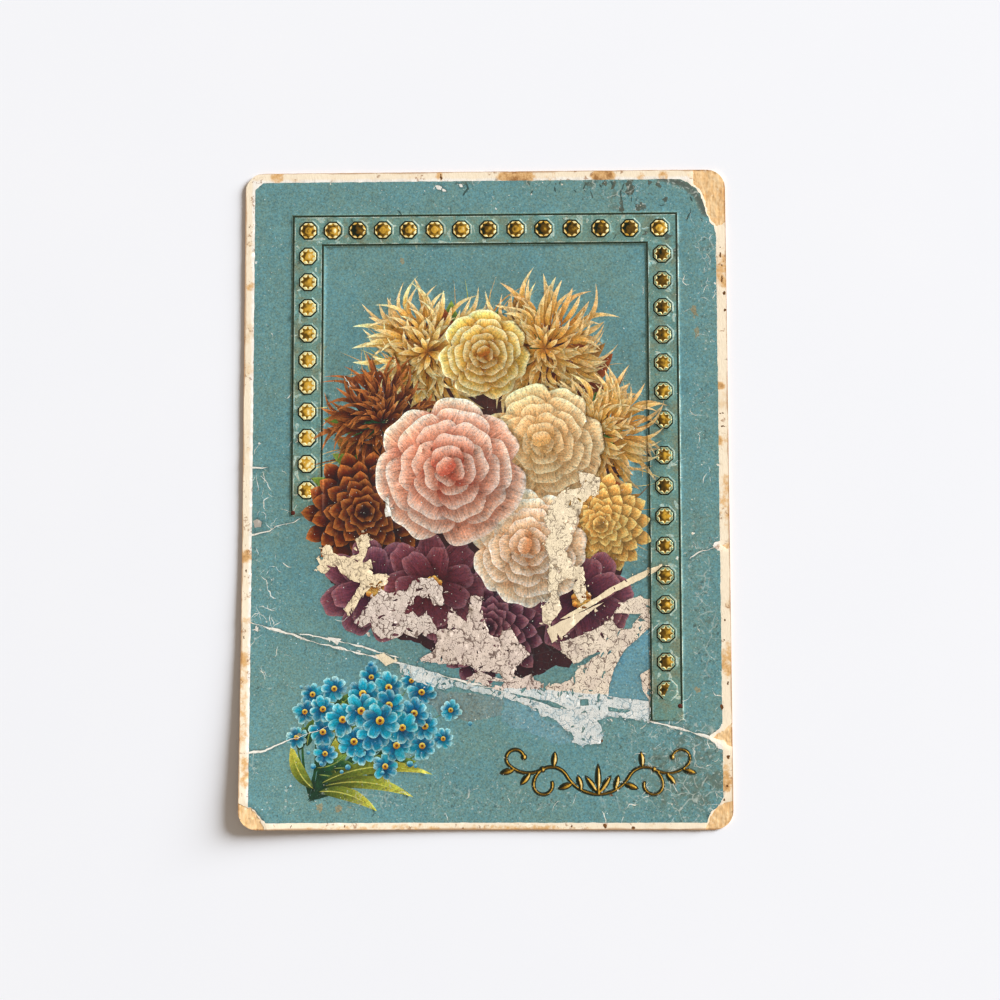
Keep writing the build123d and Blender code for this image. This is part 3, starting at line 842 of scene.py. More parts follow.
# Worn places, traced in the photograph's pixels: share of fine crazing, colour of the bared paper, outline
FLAKED = (
    (0.50, (254, 232, 192), ((316, 558), (327, 544), (330, 545), (333, 553), (340, 556), (349, 558),
        (359, 553), (358, 546), (356, 539), (367, 533), (370, 535), (370, 544), (365, 554), (363, 562),
        (371, 560), (373, 574), (387, 574), (388, 581), (383, 586), (371, 587), (365, 593), (349, 617),
        (344, 609), (357, 591), (361, 583), (350, 580), (340, 571), (334, 565), (325, 574), (315, 570),
        (320, 564))),
    (0.95, (234, 217, 202), ((354, 622), (373, 597), (381, 589), (390, 593), (407, 591), (412, 581),
        (422, 577), (433, 578), (443, 589), (443, 605), (434, 606), (429, 593), (425, 598), (416, 596),
        (413, 605), (408, 605), (406, 612), (413, 611), (418, 618), (426, 611), (430, 618), (436, 627),
        (436, 633), (430, 634), (422, 635), (417, 638), (403, 633), (398, 638), (381, 639), (373, 630),
        (370, 623), (361, 627))),
    (1.00, (234, 214, 197), ((420, 659), (436, 648), (437, 632), (448, 627), (447, 622), (449, 611),
        (451, 608), (462, 619), (467, 621), (469, 602), (471, 595), (481, 598), (482, 609), (488, 630),
        (489, 635), (501, 637), (502, 631), (511, 628), (515, 635), (519, 641), (530, 654), (522, 662),
        (515, 667), (513, 674), (522, 678), (530, 674), (535, 679), (540, 682), (544, 692), (544, 697),
        (515, 690), (494, 690), (482, 684), (466, 678), (474, 674), (479, 672), (469, 665), (445, 664),
        (423, 662))),
    (0.50, (254, 235, 200), ((560, 493), (567, 489), (574, 490), (581, 487), (579, 471), (600, 477),
        (599, 494), (589, 496), (583, 504), (581, 513), (577, 518), (575, 528), (571, 545), (564, 549),
        (572, 562), (575, 567), (582, 566), (585, 576), (587, 599), (580, 604), (572, 589), (575, 579),
        (566, 579), (559, 584), (557, 594), (562, 609), (558, 617), (547, 624), (543, 621), (542, 607),
        (549, 599), (548, 591), (549, 571), (549, 553), (544, 544), (550, 533), (545, 520), (550, 506))),
    (0.12, (247, 228, 190), ((662, 564), (663, 568), (640, 580), (615, 592), (595, 604), (580, 612),
        (566, 618), (560, 619), (575, 610), (592, 600), (610, 588), (635, 575))),
    (0.12, (244, 224, 190), ((604, 602), (590, 612), (578, 622), (566, 634), (552, 643), (547, 629),
        (560, 622), (575, 615))),
    (1.00, (242, 224, 200), ((650, 600), (640, 596), (628, 600), (618, 606), (611, 617), (603, 624),
        (591, 631), (577, 637), (560, 642), (562, 652), (574, 664), (598, 650), (601, 653), (577, 669),
        (575, 676), (566, 681), (545, 686), (545, 693), (600, 698), (650, 701))),
    (1.45, (232, 231, 224), ((545, 690), (504, 688), (504, 697), (538, 710), (541, 718), (548, 715),
        (562, 726), (574, 736), (573, 742), (579, 745), (601, 743), (604, 732), (598, 721), (611, 716),
        (650, 721), (650, 699), (600, 694))),
    (1.50, (228, 228, 220), ((400, 662), (408, 664), (425, 669), (454, 681), (482, 687), (505, 692),
        (504, 698), (482, 693), (454, 686), (445, 690), (432, 687), (418, 682), (410, 677), (400, 673))),
    (0.15, (240, 234, 222), ((328, 637), (342, 639), (337, 645))),
    (0.20, (246, 228, 194), ((375, 655), (384, 653), (396, 661), (386, 666))),
    (0.00, (240, 234, 222), ((253, 630), (259, 627), (258, 632))),
    (0.00, (240, 236, 226), ((435, 186), (438, 185), (442, 187), (441, 190), (437, 189))),
    (0.00, (240, 236, 226), ((459, 184), (462, 184), (463, 187), (460, 187))),
    (0.00, (178, 170, 158), ((253, 521), (257, 519), (262, 522), (261, 527), (255, 528))),
    (0.30, (232, 228, 214), ((385, 497), (389, 497), (391, 515), (386, 517))),
)
# Print left standing in the flaked places, and small chips out of it, in pixels
STANDING = (
    ((614, 613), (641, 614), (629, 629), (618, 628), (613, 622)),
    ((650, 627), (637, 639), (626, 648), (619, 659), (614, 669), (610, 683), (608, 696), (628, 699),
        (649, 701), (643, 690), (640, 675), (650, 668)),
    ((503, 691), (543, 699), (557, 703), (567, 709), (555, 708), (541, 702), (518, 696)),
    ((608, 707), (631, 710), (626, 713), (609, 711)), ((580, 699), (589, 699), (589, 705), (580, 705)),
    ((480, 671), (500, 673), (503, 679), (492, 677)), ((487, 680), (505, 682), (501, 686), (490, 684)),
)
PICKED = (
    ((642, 643), (647, 643), (648, 650), (644, 655), (640, 661), (638, 659), (642, 652)),
    ((622, 692), (626, 690), (628, 695), (624, 697)),
)
# Faded print: colour and outline in pixels
FADED = (
    ((103, 149, 160), ((651, 625), (637, 638), (625, 648), (612, 669), (606, 698), (651, 703))),
    ((113, 151, 156), ((503, 696), (536, 709), (541, 719), (562, 725), (575, 742), (560, 745), (535, 735),
        (503, 722))),
    ((118, 138, 134), ((425, 683), (447, 692), (480, 694), (505, 699), (500, 716), (470, 722), (440, 716),
        (423, 697))),
)
# Fine dark cracks, in pixels
DARK_CRACK_WIDTH = 0.28
DARK_CRACKS = (
    ((625, 182), (620, 193), (621, 202), (622, 213)), ((691, 206), (690, 214), (686, 221)),
    ((690, 195), (693, 202)), ((657, 205), (661, 206), (665, 205)), ((632, 196), (632, 202)),
    ((700, 216), (703, 223)), ((612, 240), (617, 233)), ((465, 181), (468, 189), (463, 197)),
    ((528, 180), (531, 186)), ((592, 181), (590, 190), (594, 199)),
    ((550, 179), (551, 183), (547, 187), (546, 192)), ((560, 180), (559, 185)), ((554, 186), (556, 192)),
    ((575, 185), (574, 190), (577, 193)), ((584, 181), (586, 184), (583, 188), (586, 193)),
    ((600, 184), (602, 188)), ((605, 179), (603, 185)), ((610, 180), (613, 187)), ((648, 179), (649, 185)),
    ((657, 181), (659, 187)), ((409, 206), (410, 211), (409, 217)), ((451, 207), (450, 216)),
    ((397, 210), (403, 216)), ((533, 190), (530, 196)),
)
# Spots of dark grime and of lighter smudging, in pixels: middle and half sizes.
# Their outlines are divided and shaken by a step, a depth and a grain in millimetres.
SPOT_STEPS = 24
SPOT_SHAKE = (0.2, 0.42, 0.55)
GRIMY = (
    (630, 187, 4, 9), (640, 207, 5, 4), (666, 200, 3, 3), (667, 236, 5, 3), (605, 184, 2, 3),
    (613, 185, 2, 4), (649, 183, 2, 4), (658, 185, 2, 3), (676, 250, 1, 8), (622, 205, 2, 7),
    (645, 233, 3, 2),
)
SMUDGED = (
    (320, 808, 4, 4), (339, 808, 3, 3), (694, 312, 3, 7), (697, 332, 2, 6), (350, 806, 2, 2),
    (348, 236, 2, 2), (402, 262, 3, 3), (697, 690, 4, 3), (300, 735, 3, 2),
)
# Crisp brown specks, mostly on the margin
SPECK_STAIN = 1.3
SPECK_STEPS = 14
SPECK_SHAKE = (0.14, 0.14, 0.3)
SPECKS = (
    (441, 177, 1.2, 3.0), (720, 255, 1.0, 2.6), (722, 279, 1.2, 3.4), (724, 293, 1.4, 2.0),
    (725, 310, 1.0, 1.4), (722, 265, 0.7, 1.2), (720, 247, 0.7, 0.7), (722, 413, 2.6, 0.8),
    (723, 426, 2.6, 0.6), (725, 620, 1.0, 1.4), (724, 640, 1.1, 1.0), (728, 683, 1.2, 1.8),
    (722, 707, 1.6, 2.2), (292, 826, 0.5, 1.6), (345, 826, 0.5, 1.6), (463, 828, 1.4, 1.0),
    (605, 826, 2.0, 2.2), (633, 828, 1.8, 1.6), (572, 826, 0.7, 1.0), (250, 246, 0.6, 0.6),
    (249, 227, 0.5, 0.5), (246, 571, 0.8, 2.0), (245, 593, 0.6, 0.8), (250, 593, 0.9, 0.9),
    (244, 637, 1.0, 1.6), (611, 795, 1.7, 1.5), (602, 741, 1.2, 1.2), (728, 757, 1.4, 2.2),
    (727, 786, 1.2, 0.8), (724, 800, 0.8, 1.6),
)
# Soft soiling of the margin and of the print, in pixels: middle, half sizes and strength. The last two only
# darken long strips of the margin along the lower left and the bottom.
MARGIN_STAINS = (
    (277, 178, 8, 7, 0.50), (517, 177, 22, 7, 0.64), (553, 177, 5, 7, 0.46), (603, 176, 13, 7, 0.68),
    (641, 176, 5, 6, 0.46), (663, 176, 6, 7, 0.56), (251, 286, 7, 5, 0.45), (246, 557, 8, 8, 0.54),
    (249, 620, 8, 5, 0.52), (245, 660, 7, 10, 0.55), (720, 386, 7, 5, 0.56), (722, 441, 8, 6, 0.55),
    (727, 660, 7, 22, 0.50), (726, 500, 7, 30, 0.45), (723, 270, 8, 24, 0.46), (726, 780, 7, 16, 0.52),
    (550, 829, 8, 5, 0.50), (246, 770, 7, 20, 0.48), (440, 176, 4, 6, 0.50), (243, 700, 8, 70, 0.42),
    (450, 828, 170, 5, 0.42),
)
STAINS = (
    (630, 187, 8, 12, 0.35), (640, 207, 8, 7, 0.35), (615, 200, 7, 13, 0.45), (642, 236, 7, 4, 0.45),
    (676, 250, 3, 14, 0.45), (690, 745, 12, 8, 0.5), (712, 735, 8, 6, 0.55), (700, 768, 11, 8, 0.5),
    (716, 780, 7, 12, 0.55), (700, 802, 14, 9, 0.5), (650, 735, 9, 6, 0.4), (612, 737, 9, 7, 0.4),
    (590, 725, 10, 6, 0.4), (470, 182, 12, 4, 0.5), (528, 182, 8, 4, 0.5), (592, 183, 9, 5, 0.5),
    (262, 182, 8, 5, 0.4), (257, 560, 5, 20, 0.35), (255, 760, 6, 24, 0.35), (480, 716, 16, 9, 0.3),
    (700, 640, 9, 26, 0.3), (690, 772, 54, 54, 0.46), (630, 795, 44, 22, 0.32), (700, 560, 14, 70, 0.36),
    (702, 420, 10, 60, 0.28), (450, 800, 150, 18, 0.32), (480, 770, 60, 30, 0.24), (280, 800, 22, 20, 0.26),
    (620, 190, 40, 16, 0.30), (706, 320, 9, 80, 0.26), (268, 640, 22, 80, 0.24), (330, 652, 60, 12, 0.24),
    (272, 300, 10, 90, 0.16), (480, 205, 160, 20, 0.18), (560, 725, 60, 16, 0.28), (640, 760, 40, 40, 0.30),
    (708, 640, 12, 60, 0.36), (706, 250, 10, 26, 0.36),
)
# Grime along the torn corner: strength, reach and line in pixels
TORN_GRIME = 0.85
TORN_GRIME_REACH = 0.95
TORN_STAIN = ((660, 178), (670, 180), (680, 183), (688, 187), (696, 194), (701, 203), (704, 213))
# Places with many scratches: middle, spread and number
SCRATCHED = (
    (-40.0, -1.0, 2.2, 5.0, 18), (-39.5, -27.0, 2.6, 5.0, 22), (-40.5, -14.0, 1.8, 6.0, 14),
    (-37.0, 9.0, 3.0, 5.0, 7), (39.5, 43.0, 2.0, 4.0, 22), (38.5, -43.0, 3.0, 4.0, 24),
    (38.0, -52.0, 3.5, 3.5, 30), (26.0, -54.0, 6.0, 2.5, 16), (0.0, -54.0, 18.0, 2.5, 8),
    (39.5, 5.0, 1.8, 14.0, 16), (30.0, -46.0, 7.0, 4.0, 14), (0.0, 0.0, 38.0, 48.0, 18),
)


TRACED_STEP = 0.35
TRACED_GRAIN = 0.9
PICKED_TINT = srgb(232, 228, 218)
FLECK_COUNT = 460
FLECK_EDGE_SHARE = 0.35
FLECK_CREASE_SHARE = 0.4
FLECK_CORNERS = 6


def traced(places, depth, seed):
    """An outline traced on the photograph, laid on the card and roughened."""
    return ragged(on_card(places), TRACED_STEP, depth, TRACED_GRAIN, seed)


def chip(place, low, high, stretch, rng):
    """A small blot of a drawn size, heading and shape."""
    radius = rng.uniform(low, high)
    angle = rng.uniform(0, 180)
    return blot(place, radius, stretch, angle, int(rng.integers(9999)))


def spot_outline(x, y, wide, high, steps, shake, seed):
    """Middle, corner and uneven round outline of a spot given in pixels by its middle and half sizes."""
    middle, corner = on_card(((x, y), (x + wide, y - high)))
    return middle, corner, ragged(middle + disc((0, 0), 1.0, steps) * (corner - middle), *shake, seed)


def flakes():
    """Patches where the print has come away, with a few smaller ones round each."""
    rng = np.random.default_rng(71)
    patches = []
    for index, (lace, tint, places) in enumerate(FLAKED):
        outline = traced(places, 0.24 if lace > 0.2 else 0.08, 200.0 + index)
        patches.append((outline, srgb(*tint), lace))
        for place in outline[rng.integers(len(outline), size=len(outline) // 9)]:
            spot = place + rng.normal(0, 0.5, 2)
            patches.append((chip(spot, 0.08, 0.34, 1.3, rng), srgb(*tint), lace))
    for index, places in enumerate(PICKED):
        patches.append((traced(places, 0.08, 230.0 + index), PICKED_TINT, 0.2))
    return patches


def islands(patches):
    """Pieces of print left standing inside the flaked patches."""
    rng = np.random.default_rng(72)
    outlines = [traced(places, 0.10, 240.0 + index) for index, places in enumerate(STANDING)]
    for outline, tint, lace in patches:
        for _ in range(round((0.2 + min(lace, 1)) * len(outline) / 9)):
            place = mixed(*outline[rng.integers(len(outline), size=2)], rng.uniform(0.1, 0.9))
            if inside(place[None, :], outline)[0]:
                outlines.append(chip(place, 0.10, 0.42, 1.7, rng))
    return outlines


def flecks():
    """Small chips, thickest near the edges and along the main crease."""
    rng = np.random.default_rng(73)
    outlines = []
    for _ in range(FLECK_COUNT):
        if rng.random() < FLECK_EDGE_SHARE:
            edge = rng.uniform(-1, 1, 2)
            side = rng.integers(2)
            edge[side] = math.copysign(1 - abs(rng.normal(0, 0.06)), edge[side])
            place = edge * (panel_half, panel_top)
        elif rng.random() < FLECK_CREASE_SHARE:
            first = rng.integers(len(CREASES[0]) - 1)
            place = mixed(CREASES[0][first], CREASES[0][first + 1], rng.random()) + rng.normal(0, 0.9, 2)
        else:
            place = rng.uniform(-1, 1, 2) * (panel_half, panel_top)
        reach = rng.uniform(0.04, 0.11) * (1 + 1.8 * (rng.random() < 0.09))
        turn = np.sort(rng.uniform(0, 6.3, FLECK_CORNERS))
        spread = reach * rng.uniform(0.6, 1.4, FLECK_CORNERS)
        outlines.append(place + np.column_stack([np.cos(turn) * spread, np.sin(turn) * spread]))
    return outlines


def scratches():
    """Fine wandering scratches, most of them near the edges."""
    rng = np.random.default_rng(74)
    outlines = []
    for x, y, wide, high, count in SCRATCHED:
        for _ in range(count):
            path = [rng.normal((x, y), (wide, high))]
            heading = rng.uniform(0, 2 * math.pi)
            for _ in range(rng.integers(2, 7)):
                heading += rng.normal(0, 0.6)
                path.append(path[-1] + direction(heading) * rng.uniform(0.3, 0.8))
            outlines.append(fissure(path, rng.uniform(0.05, 0.14), float(rng.integers(999)), 0.35))
    return outlines


def soiling(points, places):
    """How far each point is soiled by these places."""
    soiled = np.zeros(len(points))
    for x, y, wide, high, strength in places:
        middle, corner = on_card(((x, y), (x + wide, y - high)))
        far = np.linalg.norm((points - middle) / (corner - middle), axis=1)
        soiled = np.maximum(soiled, strength * (1 - smooth(far, 0.6, 1.5)))
    return soiled


# Heights

def curl(points, height):
    """Height of a layer at these plan points, given its height where the card lies flat."""
    start = np.array([-HALF_WIDTH, CURL_LEFT_RISE - HALF_HEIGHT])
    normal = -np.array([CURL_LEFT_RISE, CURL_BOTTOM_REACH]) / math.hypot(CURL_LEFT_RISE, CURL_BOTTOM_REACH)
    past = np.clip((points - start) @ normal, 0, None)
    return CURL_RADIUS - np.sqrt((CURL_RADIUS - height) ** 2 - past ** 2)


BAND_SLOPE = 0.12


def band_rise(points):
    """Height of the embossed band, with sloping sides."""
    outline = band_outline(0)
    depth = line_distance(points, outline, closed=True)
    return np.where(inside(points, outline), EMBOSS * np.clip(depth / BAND_SLOPE, 0, 1), 0)


def wobble(points, size, seed):
    return np.array([noise.noise((x / size, y / size, seed)) for x, y in points])


# Front triangulation

def visible_sides(shapes):
    """For each shape's outline, whether each point is clear of the shapes printed over it."""
    lows = np.array([shape.outline.min(axis=0) for shape in shapes])
    highs = np.array([shape.outline.max(axis=0) for shape in shapes])
    result = []
    for index, shape in enumerate(shapes):
        over = np.all((lows < highs[index]) & (highs > lows[index]), axis=1)
        hidden = np.zeros(len(shape.outline), bool)
        for other in np.nonzero(over)[0]:
            if other > index:
                hidden |= inside(shape.outline, shapes[other].outline)
        result.append(~hidden)
    return result


class Plan:
    """Points and edges for one flat triangulation."""

    def __init__(self):
        self.points = []
        self.edges = []

    def outline(self, outline, clear=None):
        """Adds a closed outline, leaving out the sides that have no clear end."""
        count = len(outline)
        kept = np.ones(count, bool) if clear is None else clear | np.roll(clear, -1)
        used = kept | np.roll(kept, 1)
        number = len(self.points) + np.cumsum(used) - 1
        self.points += [tuple(point) for point in outline[used]]
        self.edges += [(int(number[i]), int(number[(i + 1) % count])) for i in np.nonzero(kept)[0]]

    def scatter(self, points):
        self.points += [tuple(point) for point in points]

    def triangles(self):
        places = [Vector(point) for point in self.points]
        made = delaunay_2d_cdt(places, self.edges, [], 0, 1e-4)
        self.origins = np.array([min(group, default=-1) for group in made[3]])
        return np.array([v[:] for v in made[0]]), np.array(made[2])


def grid(step, seed):
    """Slightly shaken points over the whole card."""
    rng = np.random.default_rng(seed)
    x, y = np.meshgrid(np.arange(-HALF_WIDTH + step / 2, HALF_WIDTH, step),
                       np.arange(-HALF_HEIGHT + step / 2, HALF_HEIGHT, step))
    return np.column_stack([x.ravel(), y.ravel()]) + rng.uniform(-0.3, 0.3, (x.size, 2)) * step


def border_sides(faces, count):
    """The sides that only one of the triangles has, as start and end columns."""
    starts = faces.ravel()
    ends = np.roll(faces, -1, axis=1).ravel()
    single = ~np.isin(starts * count + ends, ends * count + starts)
    return np.column_stack([starts[single], ends[single]])


def thinned(points, faces, step):
    """The region of these triangles in fewer ones: its border stays, and a coarse grid fills it."""
    count = len(points)
    border, sides = np.unique(border_sides(faces, count), return_inverse=True)
    sides = sides.reshape(-1, 2)
    outline = points[border][sides[:, 0]], points[border][sides[:, 1]]
    plan = Plan()
    plan.scatter(points[border])
    plan.edges += [tuple(map(int, side)) for side in sides]
    spread = grid(step, 6)
    plan.scatter(spread[odd_crossings(spread, *outline)])
    made, triangles = plan.triangles()
    triangles = triangles[odd_crossings(made[triangles].mean(axis=1), *outline)]
    known = (plan.origins >= 0) & (plan.origins < len(border))
    number = np.where(known, border[np.clip(plan.origins, 0, len(border) - 1)], count + np.cumsum(~known) - 1)
    return np.vstack([points, made[~known]]), number[triangles]


def placed(name, data):
    """A new object in the scene that shows this data."""
    piece = bpy.data.objects.new(name, data)
    bpy.context.scene.collection.objects.link(piece)
    return piece


def solid(name, points, faces, top, bottom, corner_data=None, under=None):
    """A closed sheet between two heights, with colours on its top corners.

    Its underside repeats the faces, or is other triangles with the same border.
    """
    under = faces if under is None else under
    upper, front = np.unique(faces, return_inverse=True)
    lower, back = np.unique(under, return_inverse=True)
    front = front.reshape(faces.shape)
    back = back.reshape(under.shape)[:, ::-1] + len(upper)
    places = np.vstack([np.column_stack([points[upper], top[upper]]),
                        np.column_stack([points[lower], bottom[lower]])]) * MM
    border = border_sides(faces, len(points))
    rim = np.searchsorted(upper, border)
    foot = np.searchsorted(lower, border) + len(upper)
    walls = np.column_stack([foot, rim[:, ::-1]])
    mesh = bpy.data.meshes.new(name)
    mesh.from_pydata(places.tolist(), [], front.tolist() + back.tolist() + walls.tolist())
    flat = np.zeros(len(mesh.polygons), bool)
    flat[:len(front) + len(back)] = True
    mesh.polygons.foreach_set("use_smooth", flat)
    for label, (data, filler) in (corner_data or {}).items():
        layer = mesh.color_attributes.new(label, "FLOAT_COLOR", "CORNER")
        values = np.tile(np.asarray(filler, float), (len(mesh.loops), 1))
        values[:data.shape[0] * 3] = data.reshape(-1, 4)
        layer.data.foreach_set("color", values.ravel().astype(np.float32))
    mesh.validate()
    sides = np.zeros(2 * len(mesh.edges), int)
    mesh.edges.foreach_get("vertices", sides)
    sides = np.sort(sides.reshape(-1, 2), axis=1)
    ridges = np.sort(np.vstack([rim, foot]), axis=1)
    mesh.edges.foreach_set("use_edge_sharp", np.isin(sides @ (len(places), 1), ridges @ (len(places), 1)))
    return placed(name, mesh)


def finish_piece(piece, material, slot, *nodes):
    piece.data.materials.clear()
    piece.data.materials.append(material)
    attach(piece, "root")
    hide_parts(*nodes)


# Materials

SWAY_TURN = 1.3


class Shader:
    """A material's nodes, added and linked by short calls."""

    def __init__(self, name, roughness=0.6, specular=0.3, metallic=0.0):
        self.material = bpy.data.materials.new(name)
        self.material.use_nodes = True
        self.tree = self.material.node_tree
        self.tree.nodes.clear()
        self.surface = self.add("ShaderNodeBsdfPrincipled")
        self.surface.inputs["Roughness"].default_value = roughness
        self.surface.inputs["Specular IOR Level"].default_value = specular
        self.surface.inputs["Metallic"].default_value = metallic
        self.put(self.add("ShaderNodeOutputMaterial").inputs[0], self.surface.outputs[0])
        self.place = self.add("ShaderNodeTexCoord").outputs["Object"]
        split = self.add("ShaderNodeSeparateXYZ")
        self.put(split.inputs[0], self.place)
        self.x, self.y, self.z = split.outputs

    def add(self, kind, **settings):
        node = self.tree.nodes.new(kind)
        for key, value in settings.items():
            setattr(node, key, value)
        return node

    def put(self, socket, value):
        if isinstance(value, bpy.types.NodeSocket):
            self.tree.links.new(value, socket)
        elif isinstance(value, (tuple, list, np.ndarray)):
            socket.default_value = (*value, 1.0)[:len(socket.default_value)]
        else:
            socket.default_value = value

    def math(self, operation, first, second=0.0, clamp=False):
        node = self.add("ShaderNodeMath", operation=operation, use_clamp=clamp)
        self.put(node.inputs[0], first)
        self.put(node.inputs[1], second)
        return node.outputs[0]

    def plus(self, first, second, clamp=False):
        return self.math("ADD", first, second, clamp)

    def minus(self, first, second):
        return self.math("SUBTRACT", first, second)

    def times(self, first, second):
        return self.math("MULTIPLY", first, second)

    def centred(self, value):
        """A noise value moved to lie about zero."""
        return self.minus(value, 0.5)

    def mix(self, share, first, second, blend="MIX"):
        node = self.add("ShaderNodeMix", data_type="RGBA", blend_type=blend)
        self.put(node.inputs[0], share)
        self.put(node.inputs[6], first)
        self.put(node.inputs[7], second)
        return node.outputs[2]

    def span(self, value, low, high, to_low=0.0, to_high=1.0):
        node = self.add("ShaderNodeMapRange", interpolation_type="SMOOTHSTEP")
        for socket, number in zip(node.inputs, (value, low, high, to_low, to_high)):
            self.put(socket, number)
        return node.outputs[0]

    def noise(self, scale, detail=2.0, rough=0.5, vector=None, warp=0.0):
        node = self.add("ShaderNodeTexNoise")
        self.put(node.inputs["Vector"], self.place if vector is None else vector)
        for key, value in (("Scale", scale), ("Detail", detail), ("Roughness", rough), ("Distortion", warp)):
            node.inputs[key].default_value = value
        return node.outputs[0]

    def cells(self, scale, feature="F1", vector=None):
        node = self.add("ShaderNodeTexVoronoi", feature=feature)
        self.put(node.inputs["Vector"], self.place if vector is None else vector)
        node.inputs["Scale"].default_value = scale
        return node.outputs["Distance"]

    def specks(self, scale, radius, share, turn=0.0):
        """Round dots scattered in a share of the pattern's cells."""
        node = self.add("ShaderNodeTexVoronoi", voronoi_dimensions="2D")
        self.put(node.inputs["Vector"], self.turned(turn))
        node.inputs["Scale"].default_value = scale
        parts = self.add("ShaderNodeSeparateColor")
        self.put(parts.inputs[0], node.outputs["Color"])
        near = self.span(node.outputs["Distance"], 0.5 * radius, radius, 1.0, 0.0)
        return self.times(near, self.math("LESS_THAN", parts.outputs[0], share))

    def vector(self, x, y, z):
        node = self.add("ShaderNodeCombineXYZ")
        for socket, value in zip(node.inputs, (x, y, z)):
            self.put(socket, value)
        return node.outputs[0]

    def stretched(self, x, y, z=1.0, turn=0.0):
        node = self.add("ShaderNodeMapping")
        self.put(node.inputs["Vector"], self.place)
        node.inputs["Scale"].default_value = (x, y, z)
        node.inputs["Rotation"].default_value = (0, 0, turn)
        return node.outputs[0]

    def turned(self, turn):
        return self.stretched(1, 1, 1, turn)

    def swayed(self, scale, reach):
        """Plan places pushed about by noise, so that the edges of cells wander."""
        bend = self.times(self.centred(self.noise(scale)), reach)
        lean = self.times(self.centred(self.noise(scale, vector=self.turned(SWAY_TURN))), reach)
        return self.vector(self.plus(self.x, bend), self.plus(self.y, lean), 0.0)

    def bright(self, colour, value):
        node = self.add("ShaderNodeHueSaturation")
        self.put(node.inputs["Color"], colour)
        self.put(node.inputs["Value"], value)
        return node.outputs[0]

    def layer(self, name):
        return self.add("ShaderNodeAttribute", attribute_name=name)

    def bump(self, height, depth, normal=None):
        node = self.add("ShaderNodeBump")
        node.inputs["Strength"].default_value = 1.0
        node.inputs["Distance"].default_value = depth
        self.put(node.inputs["Height"], height)
        if normal is not None:
            self.put(node.inputs["Normal"], normal)
        return node.outputs[0]

    def from_edge(self):
        """Distance inwards from the card's nearest edge."""
        x = self.minus(HALF_WIDTH * MM, self.math("ABSOLUTE", self.x))
        y = self.minus(HALF_HEIGHT * MM, self.math("ABSOLUTE", self.y))
        return self.math("MINIMUM", x, y)

    def done(self, colour, roughness=None, normal=None):
        self.put(self.surface.inputs["Base Color"], colour)
        if roughness is not None:
            self.put(self.surface.inputs["Roughness"], roughness)
        if normal is not None:
            self.put(self.surface.inputs["Normal"], normal)
        return self.material


def petal_strokes(s):
    """Streaks along the petals and ribs across the leaves, as lighter and darker shares."""
    vein = s.layer("vein")
    parts = s.add("ShaderNodeSeparateColor")
    s.put(parts.inputs[0], vein.outputs["Color"])
    along, aside, gain = parts.outputs
    streaks = s.noise(1.0, 3.0, 0.6, s.vector(s.times(along, 2.2), s.times(aside, 5.5), gain))
    streak = s.centred(streaks)
    for across, amount in ((17.0, 0.36), (12.0, -0.24)):
        strokes = s.vector(s.times(along, 1.3), s.times(aside, across), across)
        streak = s.plus(streak, s.span(s.noise(1.0, 2.0, 0.5, strokes), 0.54, 0.68, 0.0, amount))
    streak = s.times(streak, s.times(gain, 1.4))
    ribs = s.minus(s.times(along, 7.0), s.times(s.math("ABSOLUTE", aside), 1.6))
    rib = s.span(s.math("PINGPONG", ribs, 0.5), 0.0, 0.12, 0.22, 0.0)
    return s.plus(streak, s.times(rib, vein.outputs["Alpha"]))


def stippled(s, ink, mottle):
    """The ink's colour with its strokes, grain and stipple."""
    value = s.plus(1.0, petal_strokes(s))
    value = s.plus(value, s.times(s.centred(s.noise(2900, 3.0, 0.8)), 2.1))
    value = s.plus(value, s.times(s.centred(mottle), 0.30))
    colour = s.bright(ink, value)
    hue = s.noise(2700, 3.0, 0.8, s.turned(1.1))
    stipple = s.mix(s.span(hue, 0.36, 0.64), (0.86, 1.01, 1.12), (1.14, 0.99, 0.88))
    colour = s.mix(1.0, colour, stipple, "MULTIPLY")
    drift = s.mix(s.span(s.noise(75, 4.0, 0.6), 0.36, 0.64), (0.95, 1.01, 1.05), (1.06, 0.99, 0.94))
    colour = s.mix(1.0, colour, drift, "MULTIPLY")
    colour = s.mix(s.times(s.specks(1900, 0.18, 0.45, 0.7), 0.34), colour, srgb(44, 60, 58))
    return s.mix(s.times(s.specks(900, 0.085, 0.10, 1.9), 0.75), colour, srgb(222, 224, 208))


def soiled(s, colour, amount):
    """The colour under grime, rubbed light and dark, and finely cracked where the amount is high."""
    soil = s.plus(amount, s.centred(s.noise(620, 5.0, 0.7)))
    grime = s.mix(s.span(amount, 0.45, 0.85), srgb(96, 110, 96), srgb(76, 71, 60))
    colour = s.mix(s.span(soil, 0.36, 0.60, 0.0, 0.80), colour, grime)
    worn = s.times(s.math("MINIMUM", amount, 0.36), 0.24)
    light = s.plus(worn, s.noise(1500, 3.0, 0.7, s.turned(0.4)))
    colour = s.mix(s.span(light, 0.66, 0.76, 0.0, 0.6), colour, srgb(198, 206, 196))
    dark = s.plus(worn, s.noise(1300, 3.0, 0.7, s.turned(2.0)))
    colour = s.mix(s.span(dark, 0.66, 0.75, 0.0, 0.6), colour, srgb(56, 66, 58))
    net = s.span(s.cells(290, "DISTANCE_TO_EDGE", s.swayed(420, 0.0022)), 0.0, 0.034, 1.0, 0.0)
    net = s.times(net, s.span(s.noise(240, 3.0, 0.6, s.turned(SWAY_TURN)), 0.44, 0.54))
    net = s.times(net, s.span(amount, 0.22, 0.44, 0.0, 0.6))
    return s.mix(net, colour, srgb(206, 212, 200))


